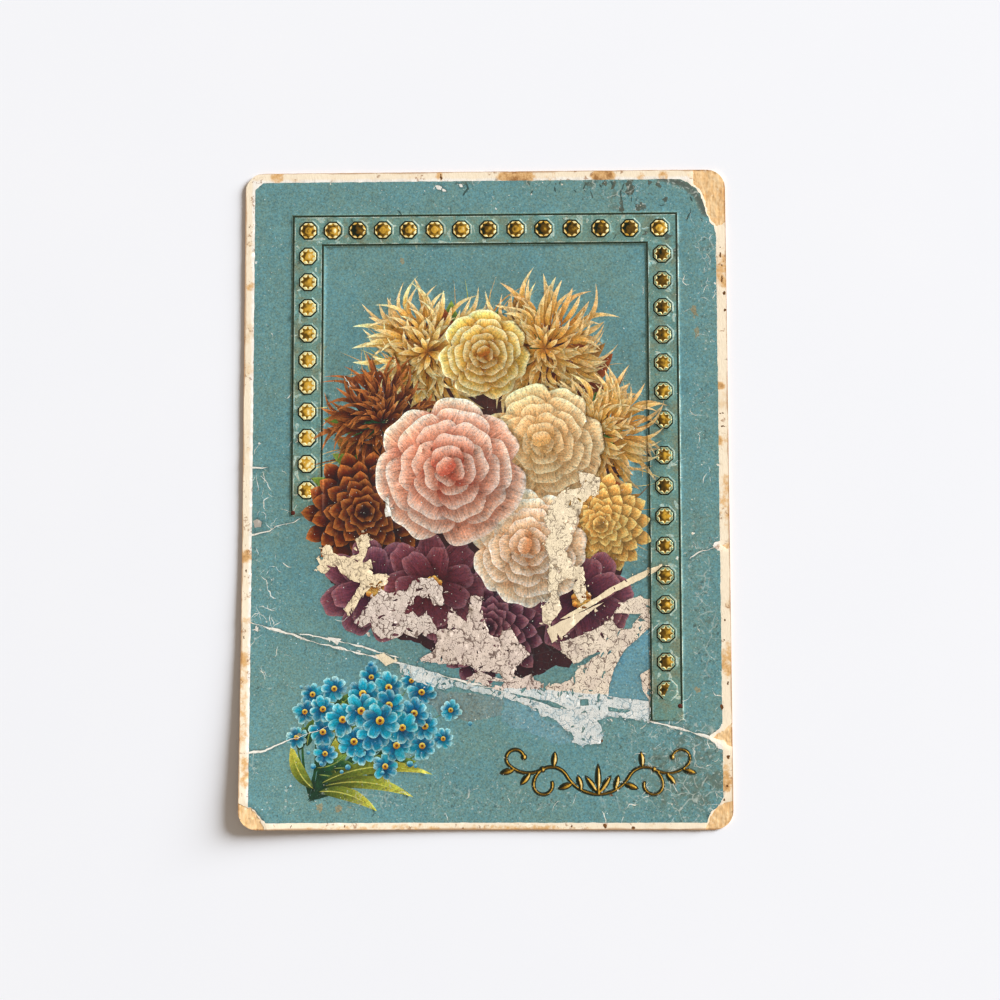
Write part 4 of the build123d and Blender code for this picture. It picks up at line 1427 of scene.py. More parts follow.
def print_material():
    """Stippled litho ink under an old varnish, with streaked petals, stains and dirt."""
    s = Shader("worn_print", specular=0.22)
    ink = s.layer("ink")
    mottle = s.noise(240, 4.0, 0.6)
    colour = soiled(s, stippled(s, ink.outputs["Color"], mottle), ink.outputs["Alpha"])
    rust = s.span(s.noise(150, 6.0, 0.7), 0.64, 0.78, 0.0, 0.32)
    colour = s.mix(rust, colour, srgb(124, 108, 76))
    rubbed = s.span(s.noise(1.0, 5.0, 0.75, s.stretched(900, 2600, 900, 0.9)), 0.67, 0.76, 0.0, 0.30)
    colour = s.mix(rubbed, colour, srgb(206, 214, 202))
    crackle = s.span(s.cells(420, "DISTANCE_TO_EDGE"), 0.0, 0.03, 1.0, 0.0)
    crackle = s.times(crackle, s.span(s.noise(90, 3.0), 0.52, 0.66, 0.0, 0.22))
    colour = s.mix(crackle, colour, srgb(76, 92, 86))
    normal = s.bump(s.noise(2600, 4.0, 0.65), 0.000012)
    normal = s.bump(s.noise(320, 3.0, 0.5), 0.00005, normal)
    return s.done(colour, s.span(mottle, 0.3, 0.7, 0.40, 0.60), normal)


def browned(s, colour, crazed):
    """The paper's colour, tanned, foxed and dirty along the card's edge."""
    rim = s.from_edge()
    edge = s.plus(rim, s.times(s.centred(s.noise(300, 4.0, 0.6)), 0.0010))
    edge = s.minus(edge, s.span(s.x, 0.040, 0.042, 0.0, 0.0006))
    margin = s.span(edge, 0.0022, 0.0030, 1.0, 0.0)
    colour = s.mix(s.span(edge, 0.0010, 0.0016, 0.90, 0.0), colour, srgb(254, 236, 206))
    fox = s.span(s.noise(190, 5.0, 0.68), 0.54, 0.72, 0.0, 0.6)
    colour = s.mix(s.times(fox, margin), colour, srgb(234, 192, 134))
    fouled = s.minus(s.centred(s.noise(560, 5.0, 0.7)), crazed)
    colour = s.mix(s.span(fouled, 0.30, 0.56, 0.0, 0.85), colour, srgb(226, 172, 100))
    colour = s.mix(s.span(fouled, 0.52, 0.74, 0.0, 0.80), colour, srgb(150, 96, 44))
    colour = s.mix(s.span(fouled, 0.85, 1.0, 0.0, 0.85), colour, srgb(88, 54, 24))
    worn = s.span(s.noise(95, 3.0, 0.6), 0.40, 0.62, 0.00014, 0.00050)
    colour = s.mix(s.span(rim, 0.00004, worn, 0.85, 0.0), colour, srgb(176, 128, 82))
    curls = s.math("PINGPONG", s.times(s.noise(380, 3.0, 0.6), 5.0), 0.5)
    spots = s.span(s.noise(430, 4.0, 0.65, s.turned(0.8)), 0.56, 0.63)
    dirt = s.times(s.span(curls, 0.05, 0.24, 1.0, 0.0), spots)
    return s.mix(s.times(s.times(dirt, margin), 0.7), colour, srgb(158, 104, 58))


def lace(s, crazed):
    """Wandering lines of glue and ink left on the bared paper."""
    turned = s.turned(SWAY_TURN)
    ruffles = s.span(s.cells(820, "DISTANCE_TO_EDGE", s.swayed(820, 0.0016)), 0.025, 0.085, 1.0, 0.0)
    ruffles = s.times(ruffles, s.span(s.noise(700, 3.0, 0.6, turned), 0.44, 0.53, 0.0, 0.9))
    frills = s.math("PINGPONG", s.times(s.noise(950, 1.0, 0.4, turned, 1.8), 6.0), 0.5)
    patchy = s.span(s.noise(1300, 3.0, 0.6), 0.42, 0.49)
    frills = s.times(s.span(frills, 0.03, 0.12, 1.0, 0.0), patchy)
    strength = s.times(s.span(crazed, 0.0, 0.8, 0.1, 0.95), s.span(crazed, 0.0, 0.05))
    return s.times(s.math("MAXIMUM", ruffles, frills), strength)


def paper_material():
    """Facing paper: tanned and flecked at the margin, crazed like lace where the print has flaked off."""
    s = Shader("facing_paper", specular=0.18)
    bare = s.layer("bare")
    crazed = bare.outputs["Alpha"]
    colour = browned(s, bare.outputs["Color"], crazed)
    lines = lace(s, crazed)
    tint = s.times(s.span(s.noise(300, 4.0, 0.6), 0.42, 0.66, 0.0, 0.4), s.span(crazed, 0.2, 1.0))
    bluish = s.span(crazed, 1.1, 1.5)
    colour = s.mix(tint, colour, s.mix(bluish, srgb(206, 184, 174), srgb(168, 192, 196)))
    colour = s.mix(lines, colour, s.mix(bluish, srgb(88, 62, 54), srgb(140, 168, 176)))
    fibre = s.noise(1.0, 4.0, 0.6, s.stretched(5200, 1400, 3000, 0.5))
    colour = s.bright(colour, s.span(fibre, 0.2, 0.8, 0.95, 1.03))
    return s.done(colour, s.span(fibre, 0.3, 0.7, 0.72, 0.9), s.bump(s.minus(fibre, lines), 0.00003))


def core_material():
    """Tan pulp board, laid bare and fibrous where the corners are torn."""
    s = Shader("core_board", specular=0.15)
    fibre = s.noise(1.0, 5.0, 0.65, s.stretched(2200, 520, 900, 0.6))
    colour = s.mix(s.span(fibre, 0.3, 0.7), srgb(234, 186, 126), srgb(247, 213, 164))
    blotch = s.span(s.noise(300, 5.0, 0.65), 0.48, 0.72, 0.0, 0.65)
    colour = s.mix(blotch, colour, srgb(224, 164, 98))
    dirt = s.span(s.from_edge(), 0.00004, 0.0004, 0.85, 0.0)
    colour = s.mix(dirt, colour, srgb(166, 114, 66))
    streak = s.span(s.noise(1.0, 4.0, 0.7, s.stretched(3000, 420, 900, 2.3)), 0.60, 0.72, 0.0, 0.6)
    colour = s.mix(streak, colour, srgb(196, 136, 78))
    shreds = s.span(s.noise(700, 4.0, 0.7), 0.60, 0.72, 0.0, 0.6)
    colour = s.mix(shreds, colour, srgb(252, 234, 204))
    return s.done(colour, s.span(fibre, 0.3, 0.7, 0.8, 0.95), s.bump(fibre, 0.00006))


def back_paper_material():
    """The browned back sheet, foxed and darker at its edges."""
    s = Shader("back_paper", specular=0.18)
    cloud = s.noise(38, 5.0, 0.6)
    colour = s.mix(s.span(cloud, 0.32, 0.7), srgb(240, 218, 178), srgb(222, 190, 142))
    edge = s.plus(s.from_edge(), s.times(s.centred(s.noise(140, 4.0, 0.6)), 0.008))
    colour = s.mix(s.span(edge, 0.0, 0.009, 0.75, 0.0), colour, srgb(188, 142, 88))
    fox = s.span(s.noise(170, 6.0, 0.68), 0.62, 0.73, 0.0, 0.7)
    colour = s.mix(fox, colour, srgb(166, 108, 58))
    specks = s.span(s.cells(700), 0.05, 0.12, 0.6, 0.0)
    colour = s.mix(s.times(specks, cloud), colour, srgb(110, 74, 44))
    fibre = s.noise(1.0, 4.0, 0.6, s.stretched(4200, 1200, 3000, 1.2))
    colour = s.bright(colour, s.span(fibre, 0.2, 0.8, 0.92, 1.06))
    return s.done(colour, s.span(fibre, 0.3, 0.7, 0.74, 0.92), s.bump(fibre, 0.00005))


def ink_material():
    """Printed sepia-green lines on the back, thin where the paper shows through."""
    s = Shader("back_ink", roughness=0.7, specular=0.2)
    colour = s.mix(s.span(s.noise(1800, 3.0, 0.7), 0.35, 0.7), srgb(44, 62, 46), srgb(92, 104, 78))
    worn = s.span(s.noise(600, 4.0, 0.7), 0.58, 0.7, 0.0, 0.75)
    colour = s.mix(worn, colour, srgb(214, 186, 140))
    return s.done(colour, None, s.bump(s.noise(2600, 3.0), 0.00003))


def gilt_material():
    """Pressed gold foil, bright on its crests, brown in its hollows and black-green round its foot."""
    s = Shader("pressed_gilt", metallic=0.8, specular=0.5)
    worn = s.noise(1400, 4.0, 0.7)
    full = s.layer("tone").outputs["Fac"]
    tone = s.plus(full, s.times(s.centred(worn), 0.24), clamp=True)
    colour = s.mix(s.span(tone, 0.04, 0.30), srgb(16, 26, 12), srgb(92, 64, 10))
    colour = s.mix(s.span(tone, 0.30, 0.62), colour, srgb(212, 162, 54))
    colour = s.mix(s.span(tone, 0.62, 0.95), colour, srgb(253, 246, 190))
    colour = s.mix(s.span(full, 1.05, 1.40), colour, srgb(222, 214, 158))
    colour = s.mix(s.span(full, 1.50, 1.95), colour, srgb(108, 136, 112))
    spots = s.span(s.noise(700, 4.0, 0.65), 0.62, 0.72, 0.0, 0.4)
    colour = s.mix(spots, colour, srgb(82, 88, 60))
    return s.done(colour, s.span(worn, 0.3, 0.7, 0.28, 0.50), s.bump(worn, 0.00003))


def rule_material():
    """Gilt gone black-green, and red-brown at the dotted ends."""
    s = Shader("rule_gilt", specular=0.2, roughness=0.6)
    worn = s.noise(1100, 4.0, 0.7)
    colour = s.mix(s.span(worn, 0.35, 0.7), srgb(15, 32, 16), srgb(40, 52, 32))
    colour = s.mix(s.span(worn, 0.66, 0.76, 0.0, 0.6), colour, srgb(138, 126, 80))
    colour = s.mix(s.layer("tone").outputs["Fac"], colour, srgb(84, 30, 18))
    return s.done(colour, None, s.bump(worn, 0.00002))


def floor_material():
    s = Shader("pale_floor", roughness=0.9, specular=0.1)
    return s.done(s.mix(s.noise(30, 3.0), srgb(246, 248, 253), srgb(249, 250, 254)))


# The front

FRONT_STEP = 0.75
BAND_PRINT_INSET = 0.02
ROSETTE_SEAT = 0.06
ROSETTE_PLINTH = 0.05
ORNAMENT_SHADE = 0.2
# Swelling along the creases, as a share of their width, and its reach
CREASE_SWELL = 0.12
CREASE_REACH = 0.8
# Waviness of the board under the band and elsewhere
BAND_WAVE = 0.006
CARD_WAVE = 0.035
# How far the paper is pressed down along its tears, and how far in that reaches
TEAR_SINK = 0.085
TEAR_REACH = 0.35
BARE_ROUGH = 0.012
BARE_SWELL = 0.018
BROKEN_LIFT = 0.02
BROKEN_SHADE = 0.4
BROKEN_INSET = 0.4
COVERED_SINK = 0.035
FILM_SINK = 0.034
COVERED_STEP = 4.0
FRINGE_REACH = 0.7
# Each shape's streaks start at another place of the pattern
STREAK_STEP = 10
STREAK_STARTS = 89
BAND_SHAPE = 0
FILM_EDGE_COLOUR = (0.9, 0.85, 0.75, 0)
NO_VEIN = (0, 0, 0, 0)
PLAIN_MARGIN = (*MARGIN_PAPER, 0.0)


def flat_patch(outline, colours):
    return Shape(outline, outline[0], outline[0] + (0, 1), colours)


def printed_shapes(picture, specks):
    """All that is printed or left on the front, in the order it was laid down, the band first."""
    shapes = [Shape(band_outline(BAND_PRINT_INSET), np.array([0.0, -40.0]), np.array([0.0, 50.0]), BAND_TEAL)]
    for index, (colour, places) in enumerate(FADED):
        outline = traced(places, 0.3, 90.0 + index)
        shapes.append(Shape(outline, outline.min(axis=0), outline.max(axis=0), palette(*4 * [colour])))
    shapes += border_marks()
    shapes += [flat_patch(outline, INK) for outline in node_outlines("gilt_ornament", ORNAMENT_SHADE)]
    shapes += picture + spray()
    for index, places in enumerate(DARK_CRACKS):
        path = on_card(places)
        crack = fissure(path, DARK_CRACK_WIDTH, 300.0 + index, 0.2)
        shapes.append(Shape(crack, path[0], path[-1], toned(INK, 0.25, TEAL)))
    for index, place in enumerate(GRIMY + SMUDGED):
        middle, corner, outline = spot_outline(*place, SPOT_STEPS, SPOT_SHAKE, 260.0 + index)
        shapes.append(Shape(outline, middle, corner, GRIME if index < len(GRIMY) else SMUDGE))
    shapes += [Shape(outline, middle, corner, RUST) for middle, corner, outline in specks]
    shapes += [flat_patch(outline, CHIPPED) for outline in flecks() + scratches()]
    return shapes


class Wear:
    """Outlines of the paper and the print, and of what is torn, cracked or flaked off them."""

    def __init__(self):
        corner = np.array([HALF_WIDTH, HALF_HEIGHT])
        edge = ragged(rounded_box(*-corner, *corner, CORNER_RADIUS), 0.5, 0.05, 1.4, 1.0)
        self.paper_edge = np.clip(edge, -corner, corner)
        panel = rounded_box(-panel_half, panel_bottom, panel_half, panel_top, PANEL_RADIUS)
        self.film_edge = ragged(panel, 0.5, 0.06, 1.1, 2.0)
        self.torn_paper = [ragged(outline, 0.35, 0.22, 0.8, 3.0 + i) for i, outline in enumerate(TORN_PAPER)]
        self.torn_film = [ragged(outline, 0.35, 0.20, 0.8, 13.0 + i) for i, outline in enumerate(TORN_FILM)]
        self.cracks = [fissure(path, width, 310.0 + i, 0.4)
                       for i, (path, width) in enumerate(zip(CREASES, CREASE_WIDTHS))]
        self.patches = flakes()
        self.flaked = [outline for outline, tint, lace in self.patches]
        self.scraps = islands(self.patches)

    def outlines(self):
        return [self.paper_edge, self.film_edge, *self.torn_paper, *self.torn_film, *self.cracks,
                *self.flaked, *self.scraps]


class Front:
    """The card's front in one flat triangulation, with what each of its triangles shows."""

    def __init__(self, shapes, wear):
        self.shapes = shapes
        self.wear = wear
        plan = Plan()
        for outline in wear.outlines():
            plan.outline(outline)
        plan.outline(band_outline(BAND_SLOPE))
        for spot in rosette_spots:
            plan.outline(octagon(spot, ROSETTE_APOTHEM + ROSETTE_SEAT))
        for shape, clear in zip(shapes, visible_sides(shapes)):
            plan.outline(shape.outline, clear)
        plan.scatter(grid(FRONT_STEP, 5))
        self.points, self.faces = plan.triangles()
        self.middles = self.points[self.faces].mean(axis=1)

        self.on_paper = inside(self.middles, wear.paper_edge) & ~inside_any(self.middles, wear.torn_paper)
        gone = inside_any(self.middles, wear.flaked) & ~inside_any(self.middles, wear.scraps)
        gone |= inside_any(self.middles, wear.cracks)
        printed = inside(self.middles, wear.film_edge) & ~inside_any(self.middles, wear.torn_film)
        self.on_film = self.on_paper & printed & ~gone
        self.top = np.full(len(self.faces), -1)
        for index, shape in enumerate(shapes):
            self.top[inside(self.middles, shape.outline)] = index

        self.bare_points = self.used(self.on_paper & ~self.on_film)
        panel = rounded_box(-panel_half + BROKEN_INSET, panel_bottom + BROKEN_INSET,
                            panel_half - BROKEN_INSET, panel_top - BROKEN_INSET, 1.5)
        self.broken = self.bare_points & self.used(self.on_film) & inside(self.points, panel)

    def used(self, chosen):
        """Which points the chosen triangles have."""
        result = np.zeros(len(self.points), bool)
        result[self.faces[chosen].ravel()] = True
        return result

    def rise(self):
        """Height of each point over the flat paper: band, relief, creases and waves, pressed at tears."""
        points = self.points
        rise = band_rise(points)
        for spot in rosette_spots:
            rise += ROSETTE_PLINTH * inside(points, octagon(spot, ROSETTE_APOTHEM + 0.08))
        point_top = np.full(len(points), -1)
        np.maximum.at(point_top, self.faces.ravel(), np.repeat(self.top, 3))
        for index in np.unique(point_top[point_top >= 0]):
            chosen = point_top == index
            rise[chosen] += self.shapes[index].relief(points[chosen])
        for path, width in zip(CREASES, CREASE_WIDTHS):
            rise += CREASE_SWELL * width * np.exp(-(line_distance(points, path) / CREASE_REACH) ** 2)
        wave = np.where(inside(points, band_outline(-0.3)), BAND_WAVE, CARD_WAVE)
        rise += wave * wobble(points, 6.0, 4.0)
        used = np.unique(self.faces[self.on_paper])
        tear = np.full(len(points), np.inf)
        for outline in self.wear.torn_paper:
            tear[used] = np.minimum(tear[used], line_distance(points[used], outline, closed=True))
        return rise - (rise + TEAR_SINK) * np.exp(-(tear / TEAR_REACH) ** 2) * (tear < 2)

    def drawn_shade(self, places):
        """Drawn shadows that the raised shapes throw on what lies under them, at each triangle's corners."""
        under = np.repeat(self.top, 3)
        shade = np.zeros(len(places))
        for index, shape in enumerate(self.shapes):
            if shape.bulge:
                reach = 2 * SHADE_REACH * shape.rim_width
                near = in_box(places, shape.outline.min(axis=0) - reach, shape.outline.max(axis=0) + reach)
                near = near[(under[near] < index) & (under[near] >= 0)]
                shade[near] = np.maximum(shade[near], shape.shade(places[near]))
        return shade.reshape(-1, 3)

    def paint(self):
        """Ink colours with stains, and streaks, at each triangle's corners."""
        colours = np.zeros((len(self.faces), 3, 4))
        veins = np.zeros((len(self.faces), 3, 4))
        shade = self.drawn_shade(self.points[self.faces].reshape(-1, 2))
        for index in np.unique(self.top):
            chosen = self.top == index
            corners = self.points[self.faces[chosen]].reshape(-1, 2)
            if index < 0:
                paint = ground(corners)
            else:
                shape = self.shapes[index]
                paint = shape.paint(corners)
                along, aside = shape.place(corners)
                along = along + STREAK_STEP * (index % STREAK_STARTS)
                rows = [along, aside, np.full(len(along), shape.vein), np.full(len(along), shape.leaf)]
                veins[chosen] = np.column_stack(rows).reshape(-1, 3, 4)
            if index == BAND_SHAPE:
                share = 0.7 * smooth(wobble(corners, 2.4, 12.0), 0.0, 0.5)
                paint = paint + share[:, None] * (OLIVE_STAIN - paint)
            paint = paint * (1 - SHADE_STRENGTH * shade[chosen].reshape(-1, 1))
            colours[chosen, :, :3] = paint.reshape(-1, 3, 3)
        colours[:, :, :3] *= (1 - BROKEN_SHADE * self.broken)[self.faces][:, :, None]
        far = line_distance(self.points, on_card(TORN_STAIN))
        torn_grime = TORN_GRIME * np.exp(-(far / TORN_GRIME_REACH) ** 2)
        colours[:, :, 3] = np.maximum(torn_grime, soiling(self.points, STAINS))[self.faces]
        return colours, veins

    def paper_tints(self, specks):
        """Each triangle's tint where the paper is bare, with its crazing or, below zero, its staining."""
        tints = np.tile(PLAIN_MARGIN, (len(self.faces), 1))
        tints[inside_any(self.middles, self.wear.cracks), :3] = CHIPPED_PAPER
        for outline, tint, lace in self.wear.patches:
            tints[inside(self.middles, outline)] = (*tint, lace)
        for outline in self.wear.torn_paper:
            near = in_box(self.middles, outline.min(axis=0) - 1, outline.max(axis=0) + 1)
            far = line_distance(self.middles[near], outline, closed=True)
            fringe = 0.8 * np.exp(-(far / FRINGE_REACH) ** 2)
            tints[near, :3] += fringe[:, None] * (FRINGE_PAPER - tints[near, :3])
        tints[inside_any(self.middles, [outline for middle, corner, outline in specks]), 3] = -SPECK_STAIN
        return tints


def build_film(front, rise):
    """The printed skin, fine on top and coarse underneath."""
    points, faces = front.points, front.faces[front.on_film]
    lifted = BROKEN_LIFT * np.clip(wobble(points, 1.3, 9.0), 0, 1) * front.broken
    top = PAPER_TOP + FILM + rise + lifted
    spread, beneath = thinned(points, faces, COVERED_STEP)
    low = np.full(len(spread), PAPER_TOP - FILM_SINK)
    low[:len(points)] = np.minimum(top - FILM - 0.004, PAPER_TOP - FILM_SINK)
    colours, veins = front.paint()
    layers = {"ink": (colours[front.on_film], FILM_EDGE_COLOUR), "vein": (veins[front.on_film], NO_VEIN)}
    film = solid("printed_film", spread, faces, curl(points, top), curl(spread, low), layers, beneath)
    finish_piece(film, print_material(), "print_film", "colour_print")


def build_paper(front, rise, specks):
    """The facing paper: fine where it shows, coarse and sunk a little where the print covers it."""
    points, faces = front.points, front.faces
    rough = BARE_ROUGH * wobble(points, 0.5, 8.0)
    top = PAPER_TOP + np.where(front.bare_points, rise + BARE_SWELL + rough, np.minimum(rise, -COVERED_SINK))
    low = (rise < -COVERED_SINK)[faces].any(axis=1)
    shown = front.on_paper & (~front.on_film | front.bare_points[faces].any(axis=1) | low)
    spread, covered = thinned(points, faces[front.on_paper & ~shown], COVERED_STEP)
    top = np.append(top, np.full(len(spread) - len(top), PAPER_TOP - COVERED_SINK))
    tints = np.repeat(front.paper_tints(specks)[shown][:, None, :], 3, axis=1)
    tints[:, :, 3] -= soiling(points, MARGIN_STAINS)[faces[shown]]
    tints = np.vstack([tints, np.tile(PLAIN_MARGIN, (len(covered), 3, 1))])
    bottom = np.full(len(spread), CORE_TOP)
    paper = solid("facing_paper", spread, np.vstack([faces[shown], covered]), curl(spread, top),
                  curl(spread, bottom), {"bare": (tints, PLAIN_MARGIN)})
    finish_piece(paper, paper_material(), "liner_paper", "front_liner")


def build_front(picture):
    specks = [spot_outline(*place, SPECK_STEPS, SPECK_SHAKE, 280.0 + index)
              for index, place in enumerate(SPECKS)]
    front = Front(printed_shapes(picture, specks), Wear())
    rise = front.rise()
    build_film(front, rise)
    build_paper(front, rise, specks)


def ground(points):
    """The plain printed ground, a little darker round the bouquet."""
    far = np.linalg.norm((points - BOUQUET_MIDDLE) / (BOUQUET_REACH * 1.12), axis=1)
    shade = 0.88 + 0.12 * smooth(far, 0.85, 1.15)
    return TEAL[None, :] * shade[:, None]


CORE_STEP = 3.0
TORN_POINTS = 16
TORN_BORDER = 0.6
TORN_SINK = 0.02


def torn_fibre(points):
    """Height of the fibres that stand up where the board is torn open."""
    return (0.07 * wobble(points, 0.55, 5.0) + 0.05 * wobble(points * (1, 0.35), 0.35, 6.0)
            + 0.05 * wobble(points, 1.8, 7.0))


def build_core():
    """The upper middle ply, coarse where it is hidden and fibrous in the torn corners."""
    edge = rounded_box(-HALF_WIDTH, -HALF_HEIGHT, HALF_WIDTH, HALF_HEIGHT, CORNER_RADIUS)
    plan = Plan()
    plan.outline(divided(edge, 1.0))
    rng = np.random.default_rng(81)
    fine = []
    for outline in TORN_PAPER:
        plan.outline(divided(outline, 0.8))
        low, high = outline.min(axis=0) - TORN_BORDER, outline.max(axis=0) + TORN_BORDER
        fine.append(rng.uniform(low, high, (round(TORN_POINTS * np.prod(high - low)), 2)))
    fine = np.vstack(fine)
    plan.scatter(fine[inside(fine, edge)])
    plan.scatter(grid(CORE_STEP, 82))
    points, faces = plan.triangles()
    faces = faces[inside(points[faces].mean(axis=1), edge)]
    top = CORE_TOP + np.where(inside_any(points, TORN_PAPER), torn_fibre(points) - TORN_SINK, 0)
    bottom = np.full(len(points), MIDDLE_LOW)
    core = solid("torn_core_board", points, faces, curl(points, top), curl(points, bottom))
    finish_piece(core, core_material(), "core_board", "front_middle")


# Gilt

STAR_SHARPNESS = 1.6
ROSETTE_STEPS = 64
STUD_HEIGHT = 0.134
# The ring of lobes lies between a share of the octagon and a share of the star
LOBE_OUTER = 0.810
LOBE_INNER = 1.03
# Dents of the pressed foil: their size, and how far they move the foil, its height and its tone
DENT_SIZE = 0.7
DENT_SHIFT = 0.05
DENT_HEIGHT = 0.25
DENT_TONE = 0.28
# Rings from the foot inwards: kind, size, height and the part of the rosette that they belong to
ROSETTE_RINGS = (
    ("octagon", 1.00, 0.000, "line"), ("octagon", 0.985, 0.070, "line"), ("octagon", 0.845, 0.085, "line"),
    ("octagon", LOBE_OUTER, 0.125, "lobe"), ("between", 0.5, 0.142, "lobe"),
    ("star", LOBE_INNER, 0.120, "edge"),
    ("star", 0.95, 0.090, "star"), ("star", 0.80, 0.082, "star"), ("circle", 0.72, 0.085, "star"),
    ("circle", 0.58, 0.105, "heart"), ("circle", 0.38, 0.125, "heart"), ("circle", 0.16, 0.132, "heart"),
)
# Each column's tones, the point and waist radius of its stars and how much its rosettes differ.
# Tones go from black through brown and gold to cream at 1, then to the pale and green of bared print.
ROSETTE_LOOKS = {
    "top": ({"line": -0.3, "lobe": 0.80, "edge": 0.66, "star": 0.25, "heart": 0.42}, (1.40, 1.10), 0.15),
    "left": ({"line": -0.3, "lobe": 1.42, "edge": 0.82, "star": 0.48, "heart": 0.60}, (1.36, 0.92), 0.09),
    "right": ({"line": -0.3, "lobe": 2.00, "edge": 0.62, "star": 0.29, "heart": 0.34}, (1.32, 0.92), 0.10),
}
# How far each part follows that difference, and how much lighter its side towards the light is
ROSETTE_VARY = {"line": 0.0, "lobe": 0.4, "edge": 0.6, "star": 0.8, "heart": 1.3}
ROSETTE_LIT = {"line": 0.0, "lobe": 0.0, "edge": 0.40, "star": 0.14, "heart": 0.10}
TONE_LOW, TONE_HIGH = -0.3, 2.2


def rosette(spot, looks, shift, star_size, seed):
    """One pressed rosette: places and tones ring by ring, from its foot to its stud."""
    turn = np.linspace(0, 2 * math.pi, ROSETTE_STEPS, endpoint=False)
    side = np.mod(turn + math.pi / 8, math.pi / 4) - math.pi / 8
    flat = ROSETTE_APOTHEM / np.cos(side)
    point, waist = star_size
    star = waist + (point - waist) * (0.5 + 0.5 * np.cos(8 * turn)) ** STAR_SHARPNESS
    places, tones = [], []
    for kind, share, height, part in ROSETTE_RINGS:
        reach = {"octagon": share * flat, "between": share * (LOBE_OUTER * flat + LOBE_INNER * star),
                 "star": share * star, "circle": np.full(ROSETTE_STEPS, share)}[kind]
        plan = spot + np.column_stack([np.cos(turn), np.sin(turn)]) * reach[:, None]
        dent = wobble(plan, DENT_SIZE, seed)
        plan = plan + DENT_SHIFT * np.column_stack([dent, wobble(plan, DENT_SIZE, seed + 3)])
        places.append(np.column_stack([plan, height * (1 + DENT_HEIGHT * dent)]))
        tone = looks[part] + ROSETTE_VARY[part] * shift + ROSETTE_LIT[part] * np.cos(turn)
        tones.append(np.clip(tone + (part != "line") * DENT_TONE * dent, TONE_LOW, TONE_HIGH))
    places.append(np.array([[*spot, STUD_HEIGHT]]))
    tones.append(np.array([looks["heart"] + ROSETTE_VARY["heart"] * shift]))
    return np.vstack(places), np.concatenate(tones)


def ring_faces(first, rings, count):
    """Faces of a cap whose rings of points run from its foot to a single top point."""
    faces = []
    for ring in range(rings - 1):
        for i in range(count):
            a, b = first + ring * count + i, first + ring * count + (i + 1) % count
            faces.append((a, b, b + count, a + count))
    last = first + (rings - 1) * count
    faces += [(last + i, last + (i + 1) % count, last + count) for i in range(count)]
    faces.append(tuple(first + i for i in reversed(range(count))))
    return faces


def set_tones(mesh, tones):
    layer = mesh.attributes.new("tone", "FLOAT", "POINT")
    layer.data.foreach_set("value", np.asarray(tones, np.float32))


def gilt_piece(name, places, tones, faces, material, *nodes):
    """A gilt mesh from plan places, with heights above the embossed band."""
    heights = curl(places[:, :2], PAPER_TOP + FILM + EMBOSS + places[:, 2])
    mesh = bpy.data.meshes.new(name)
    mesh.from_pydata((np.column_stack([places[:, :2], heights]) * MM).tolist(), [], faces)
    mesh.shade_smooth()
    set_tones(mesh, tones)
    finish_piece(placed(name, mesh), material, "gilt", *nodes)


# Gilt under the printed blooms is sunk out of sight, as is the worn side of the right leg's last rosette
HIDDEN_SINK = 0.25
WORN_HEADING = math.radians(-25)
WORN_FROM = 0.15


def build_rosettes(material, printed_over):
    rng = np.random.default_rng(486)
    for side, (looks, star_size, vary) in ROSETTE_LOOKS.items():
        places, tones, faces = [], [], []
        first = 0
        for index, spot in enumerate(rosettes[side]):
            made, tone = rosette(spot, looks, rng.uniform(-vary, vary), star_size, 20.0 + 3 * index)
            hidden = inside_any(made[:, :2], printed_over)
            if side == "right" and index == len(rosettes[side]) - 1:
                hidden |= (made[:, :2] - spot) @ direction(WORN_HEADING) > WORN_FROM
            made[:, 2] -= HIDDEN_SINK * hidden
            places.append(made)
            tones.append(tone)
            faces += ring_faces(first, len(ROSETTE_RINGS), ROSETTE_STEPS)
            first += len(made)
        gilt_piece("rosettes_" + side, np.vstack(places), np.concatenate(tones), faces, material,
                   "gilt_rosettes_" + side)


DOT_STEPS = 16
DOT_RINGS = ((1.0, -0.02), (0.92, 0.028), (0.55, 0.045))
DOT_TOP = 0.05
DOT_TONE = 0.9
# A rule's cross-section, the steps along its three sides, and how unevenly it was pressed
RULE_BEVEL = 0.03
RULE_SHOULDER = 0.026
RULE_PROFILE = ((0.0, 0.0), (RULE_BEVEL, RULE_SHOULDER), (RULE_WIDTH / 2, RULE_RISE),
                (RULE_WIDTH - RULE_BEVEL, RULE_SHOULDER), (RULE_WIDTH, 0.0))
RULE_STEPS = (140, 180, 230)
RULE_SHAKE = 0.05
RULE_SINK = 0.2


def rule_dot(middle):
    """The round end of a rule."""
    turn = np.linspace(0, 2 * math.pi, DOT_STEPS, endpoint=False)
    rings = []
    for share, height in DOT_RINGS:
        reach = RULE_DOT * share
        rings.append(np.column_stack([middle[0] + reach * np.cos(turn), middle[1] + reach * np.sin(turn),
                                      np.full(DOT_STEPS, height)]))
    return np.vstack(rings + [np.array([[*middle, DOT_TOP]])])


def rule_line(half, top, inset, short):
    """One line along a rule: up its left leg, across and down its right leg."""
    corners = ((-half + inset, rule_left_end), (-half + inset, top - inset), (half - inset, top - inset),
               (half - inset, rule_right_end + short))
    line = []
    for start, end, count in zip(corners[:-1], corners[1:], RULE_STEPS):
        line += [mixed(start, end, i / count) for i in range(count)]
    line = np.array(line + [corners[-1]])
    return line + RULE_SHAKE * np.column_stack([wobble(line, 1.5, 2.0), wobble(line, 1.5, 3.0)])


